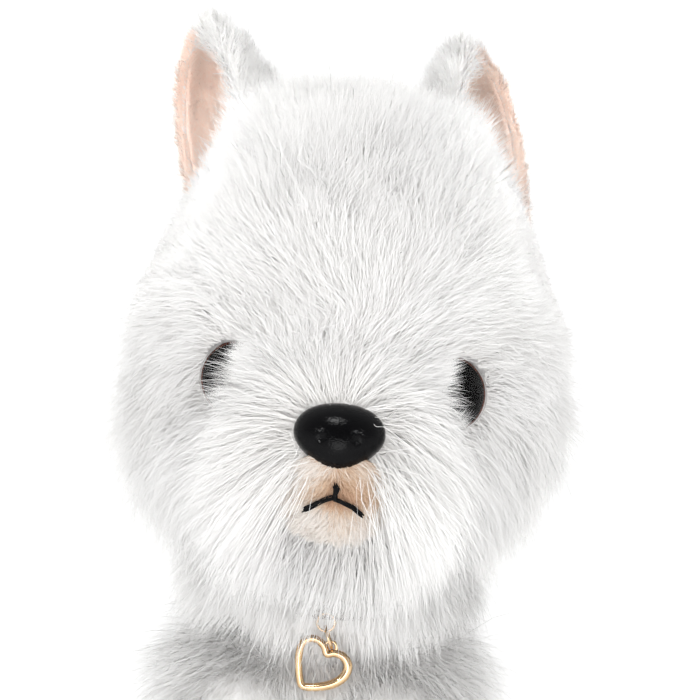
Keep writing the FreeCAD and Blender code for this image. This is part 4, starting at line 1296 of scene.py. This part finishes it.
def make_care_label():
    """A blank satin label that lies behind the seat, with a slight curl."""
    low, high = span_of("care_label")
    width, length, _ = high - low
    columns = 20
    rows = 30
    verts = []
    for row in range(rows + 1):
        along = row / rows
        for column in range(columns + 1):
            across = column / columns
            rise = 1.6 * MM * along**2 + 0.25 * MM * math.sin(across * 5 + along * 4) * along
            verts.append(low + (width * across, length * along * 0.985, 0.2 * MM + rise))
    faces = grid_faces(rows + 1, columns + 1)
    piece = add_piece("care_label_tape", verts, faces, satin, "torso", "care_label")
    thicken(piece, 0.25 * MM)


def dress(material, *names):
    """Gives CAD nodes that stay a better material."""
    for name in names:
        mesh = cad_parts[name].data
        mesh.materials.clear()
        mesh.materials.append(material)


def dress_cad_nodes():
    """Materials of the CAD nodes that stay: fillings, washers, threads, buckle, loop and ring."""
    filling = cloth_material("polyester_filling", (0.86, 0.86, 0.87), (0.97, 0.97, 0.97), 240, depth=2 * MM)
    lining = woven_material("bag_cotton", (0.62, 0.60, 0.55), (0.80, 0.78, 0.73), 0.35 * MM)
    beads = cloth_material(
        "plastic_pellets", (0.72, 0.74, 0.76), (0.92, 0.93, 0.94), 420, roughness=0.35, depth=1 * MM
    )
    seat = woven_material("seat_cotton", (0.66, 0.63, 0.58), (0.86, 0.84, 0.79), 0.5 * MM)
    washer = moulded_material("washer_plastic", (0.80, 0.80, 0.78), (0.9, 0.9, 0.88), 0.45)
    beige = cloth_material("beige_thread", (0.66, 0.58, 0.48), (0.82, 0.74, 0.62), 1500, stretch=(1, 1, 3))
    white = cloth_material("white_thread", (0.80, 0.79, 0.77), (0.93, 0.92, 0.9), 1500, stretch=(3, 1, 1))
    dress(filling, "torso_stuffing", "neck_stuffing", "head_stuffing", "tail_stuffing")
    dress(lining, "bean_bag")
    dress(beads, "bean_pellets")
    dress(seat, "seat_panel")
    dress(washer, "nose_washer")
    dress(white, "closing_stitches")
    dress(gold, "collar_buckle", "collar_loop", "jump_ring")
    for side in SIDES:
        dress(filling, side + "_front_leg_stuffing", side + "_hind_leg_stuffing")
        dress(washer, side + "_eye_washer")
        dress(beige, side + "_front_toe_stitches", side + "_hind_toe_stitches")


# ---------------------------------------------------------------- camera, light and floor


def make_camera():
    """Looks at the face from just in front, as in a close portrait, with the tilt of a hand-held shot."""
    data = bpy.data.cameras.new("camera")
    data.lens = 96
    data.sensor_width = 36
    camera = in_scene("camera", data)
    target = Vector(place(1, -50, 171))
    camera.location = target + Vector(place(0, -448, 8))
    aim = (target - camera.location).to_track_quat("-Z", "Y")
    camera.rotation_euler = (aim @ Euler((0, 0, math.radians(4.2))).to_quaternion()).to_euler()
    bpy.context.scene.camera = camera


def add_lamp(name, location, target, size, power, spread=180):
    """A square soft light, whose beam spreads over some degrees."""
    data = bpy.data.lights.new(name, "AREA")
    data.size = size
    data.spread = math.radians(spread)
    data.energy = power
    lamp = in_scene(name, data)
    lamp.location = Vector(location)
    lamp.rotation_euler = (Vector(target) - Vector(location)).to_track_quat("-Z", "Y").to_euler()


def make_surround():
    """A white room that reflects darker in front of the toy, but shows white to the camera."""
    world = bpy.data.worlds.new("studio")
    world.use_nodes = True
    tree = world.node_tree
    background = tree.nodes["Background"]
    background.inputs["Strength"].default_value = 1.15
    parts = node(tree, "ShaderNodeSeparateXYZ")
    tree.links.new(node(tree, "ShaderNodeTexCoord").outputs["Generated"], parts.inputs["Vector"])
    share = node(tree, "ShaderNodeMapRange")
    share.inputs["From Min"].default_value = -0.95
    share.inputs["From Max"].default_value = -0.05
    tree.links.new(parts.outputs["Y"], share.inputs["Value"])
    shade = colour_ramp(tree, share.outputs["Result"], [(0.0, (0.22, 0.214, 0.205)), (1.0, (1, 1, 1))])
    seen = node(tree, "ShaderNodeLightPath")
    backdrop = node(tree, "ShaderNodeMix", data_type="RGBA")
    backdrop.inputs["B"].default_value = (1, 1, 1, 1)
    tree.links.new(seen.outputs["Is Camera Ray"], backdrop.inputs["Factor"])
    tree.links.new(shade, backdrop.inputs["A"])
    tree.links.new(backdrop.outputs["Result"], background.inputs["Color"])
    bpy.context.scene.world = world


def make_lamps():
    """A softbox above, small lamps that glint in the eyes and nose, and a narrow beam into each ear."""
    face = place(0, -40, 150)
    add_lamp("softbox", place(-60, -440, 560), face, size=0.13, power=0.85)
    add_lamp("low_lamp", place(0, -420, 40), place(0, -30, 50), size=0.2, power=0.4)
    for side in SIDES:
        add_lamp(side + "_lamp", mirrored(place(240, -500, 262), side), face, size=0.014, power=0.22)
        hollow = mirrored(place(47, -6, 226), side)
        beam_start = hollow + mirrored(place(200, -320, 60), side)
        add_lamp(side + "_ear_lamp", beam_start, hollow, size=0.05, power=0.0062, spread=15)


def make_floor():
    """A pale floor that melts into the white room."""
    bpy.ops.mesh.primitive_plane_add(size=6)
    floor = bpy.context.object
    floor.name = "floor"
    material, tree, shader = new_material(
        "pale_floor", roughness=0.8, Emission_Color=(1, 1, 1, 1), Emission_Strength=0.14
    )
    paint(tree, shader, noise(tree, 3), [(0.3, (0.94, 0.94, 0.94)), (0.7, (0.97, 0.97, 0.97))])
    floor.data.materials.append(material)


bpy.context.scene.view_settings.view_transform = "Standard"
make_camera()
make_surround()
make_lamps()
make_floor()
make_head()
make_torso()
make_neck()
make_tail()
for side_name in SIDES:
    make_eye(side_name)
    make_ear(side_name)
    make_front_leg(side_name)
    make_hind_leg(side_name)
make_nose()
make_muzzle_patch()
make_mouth()
make_collar()
make_heart()
make_care_label()
dress_cad_nodes()
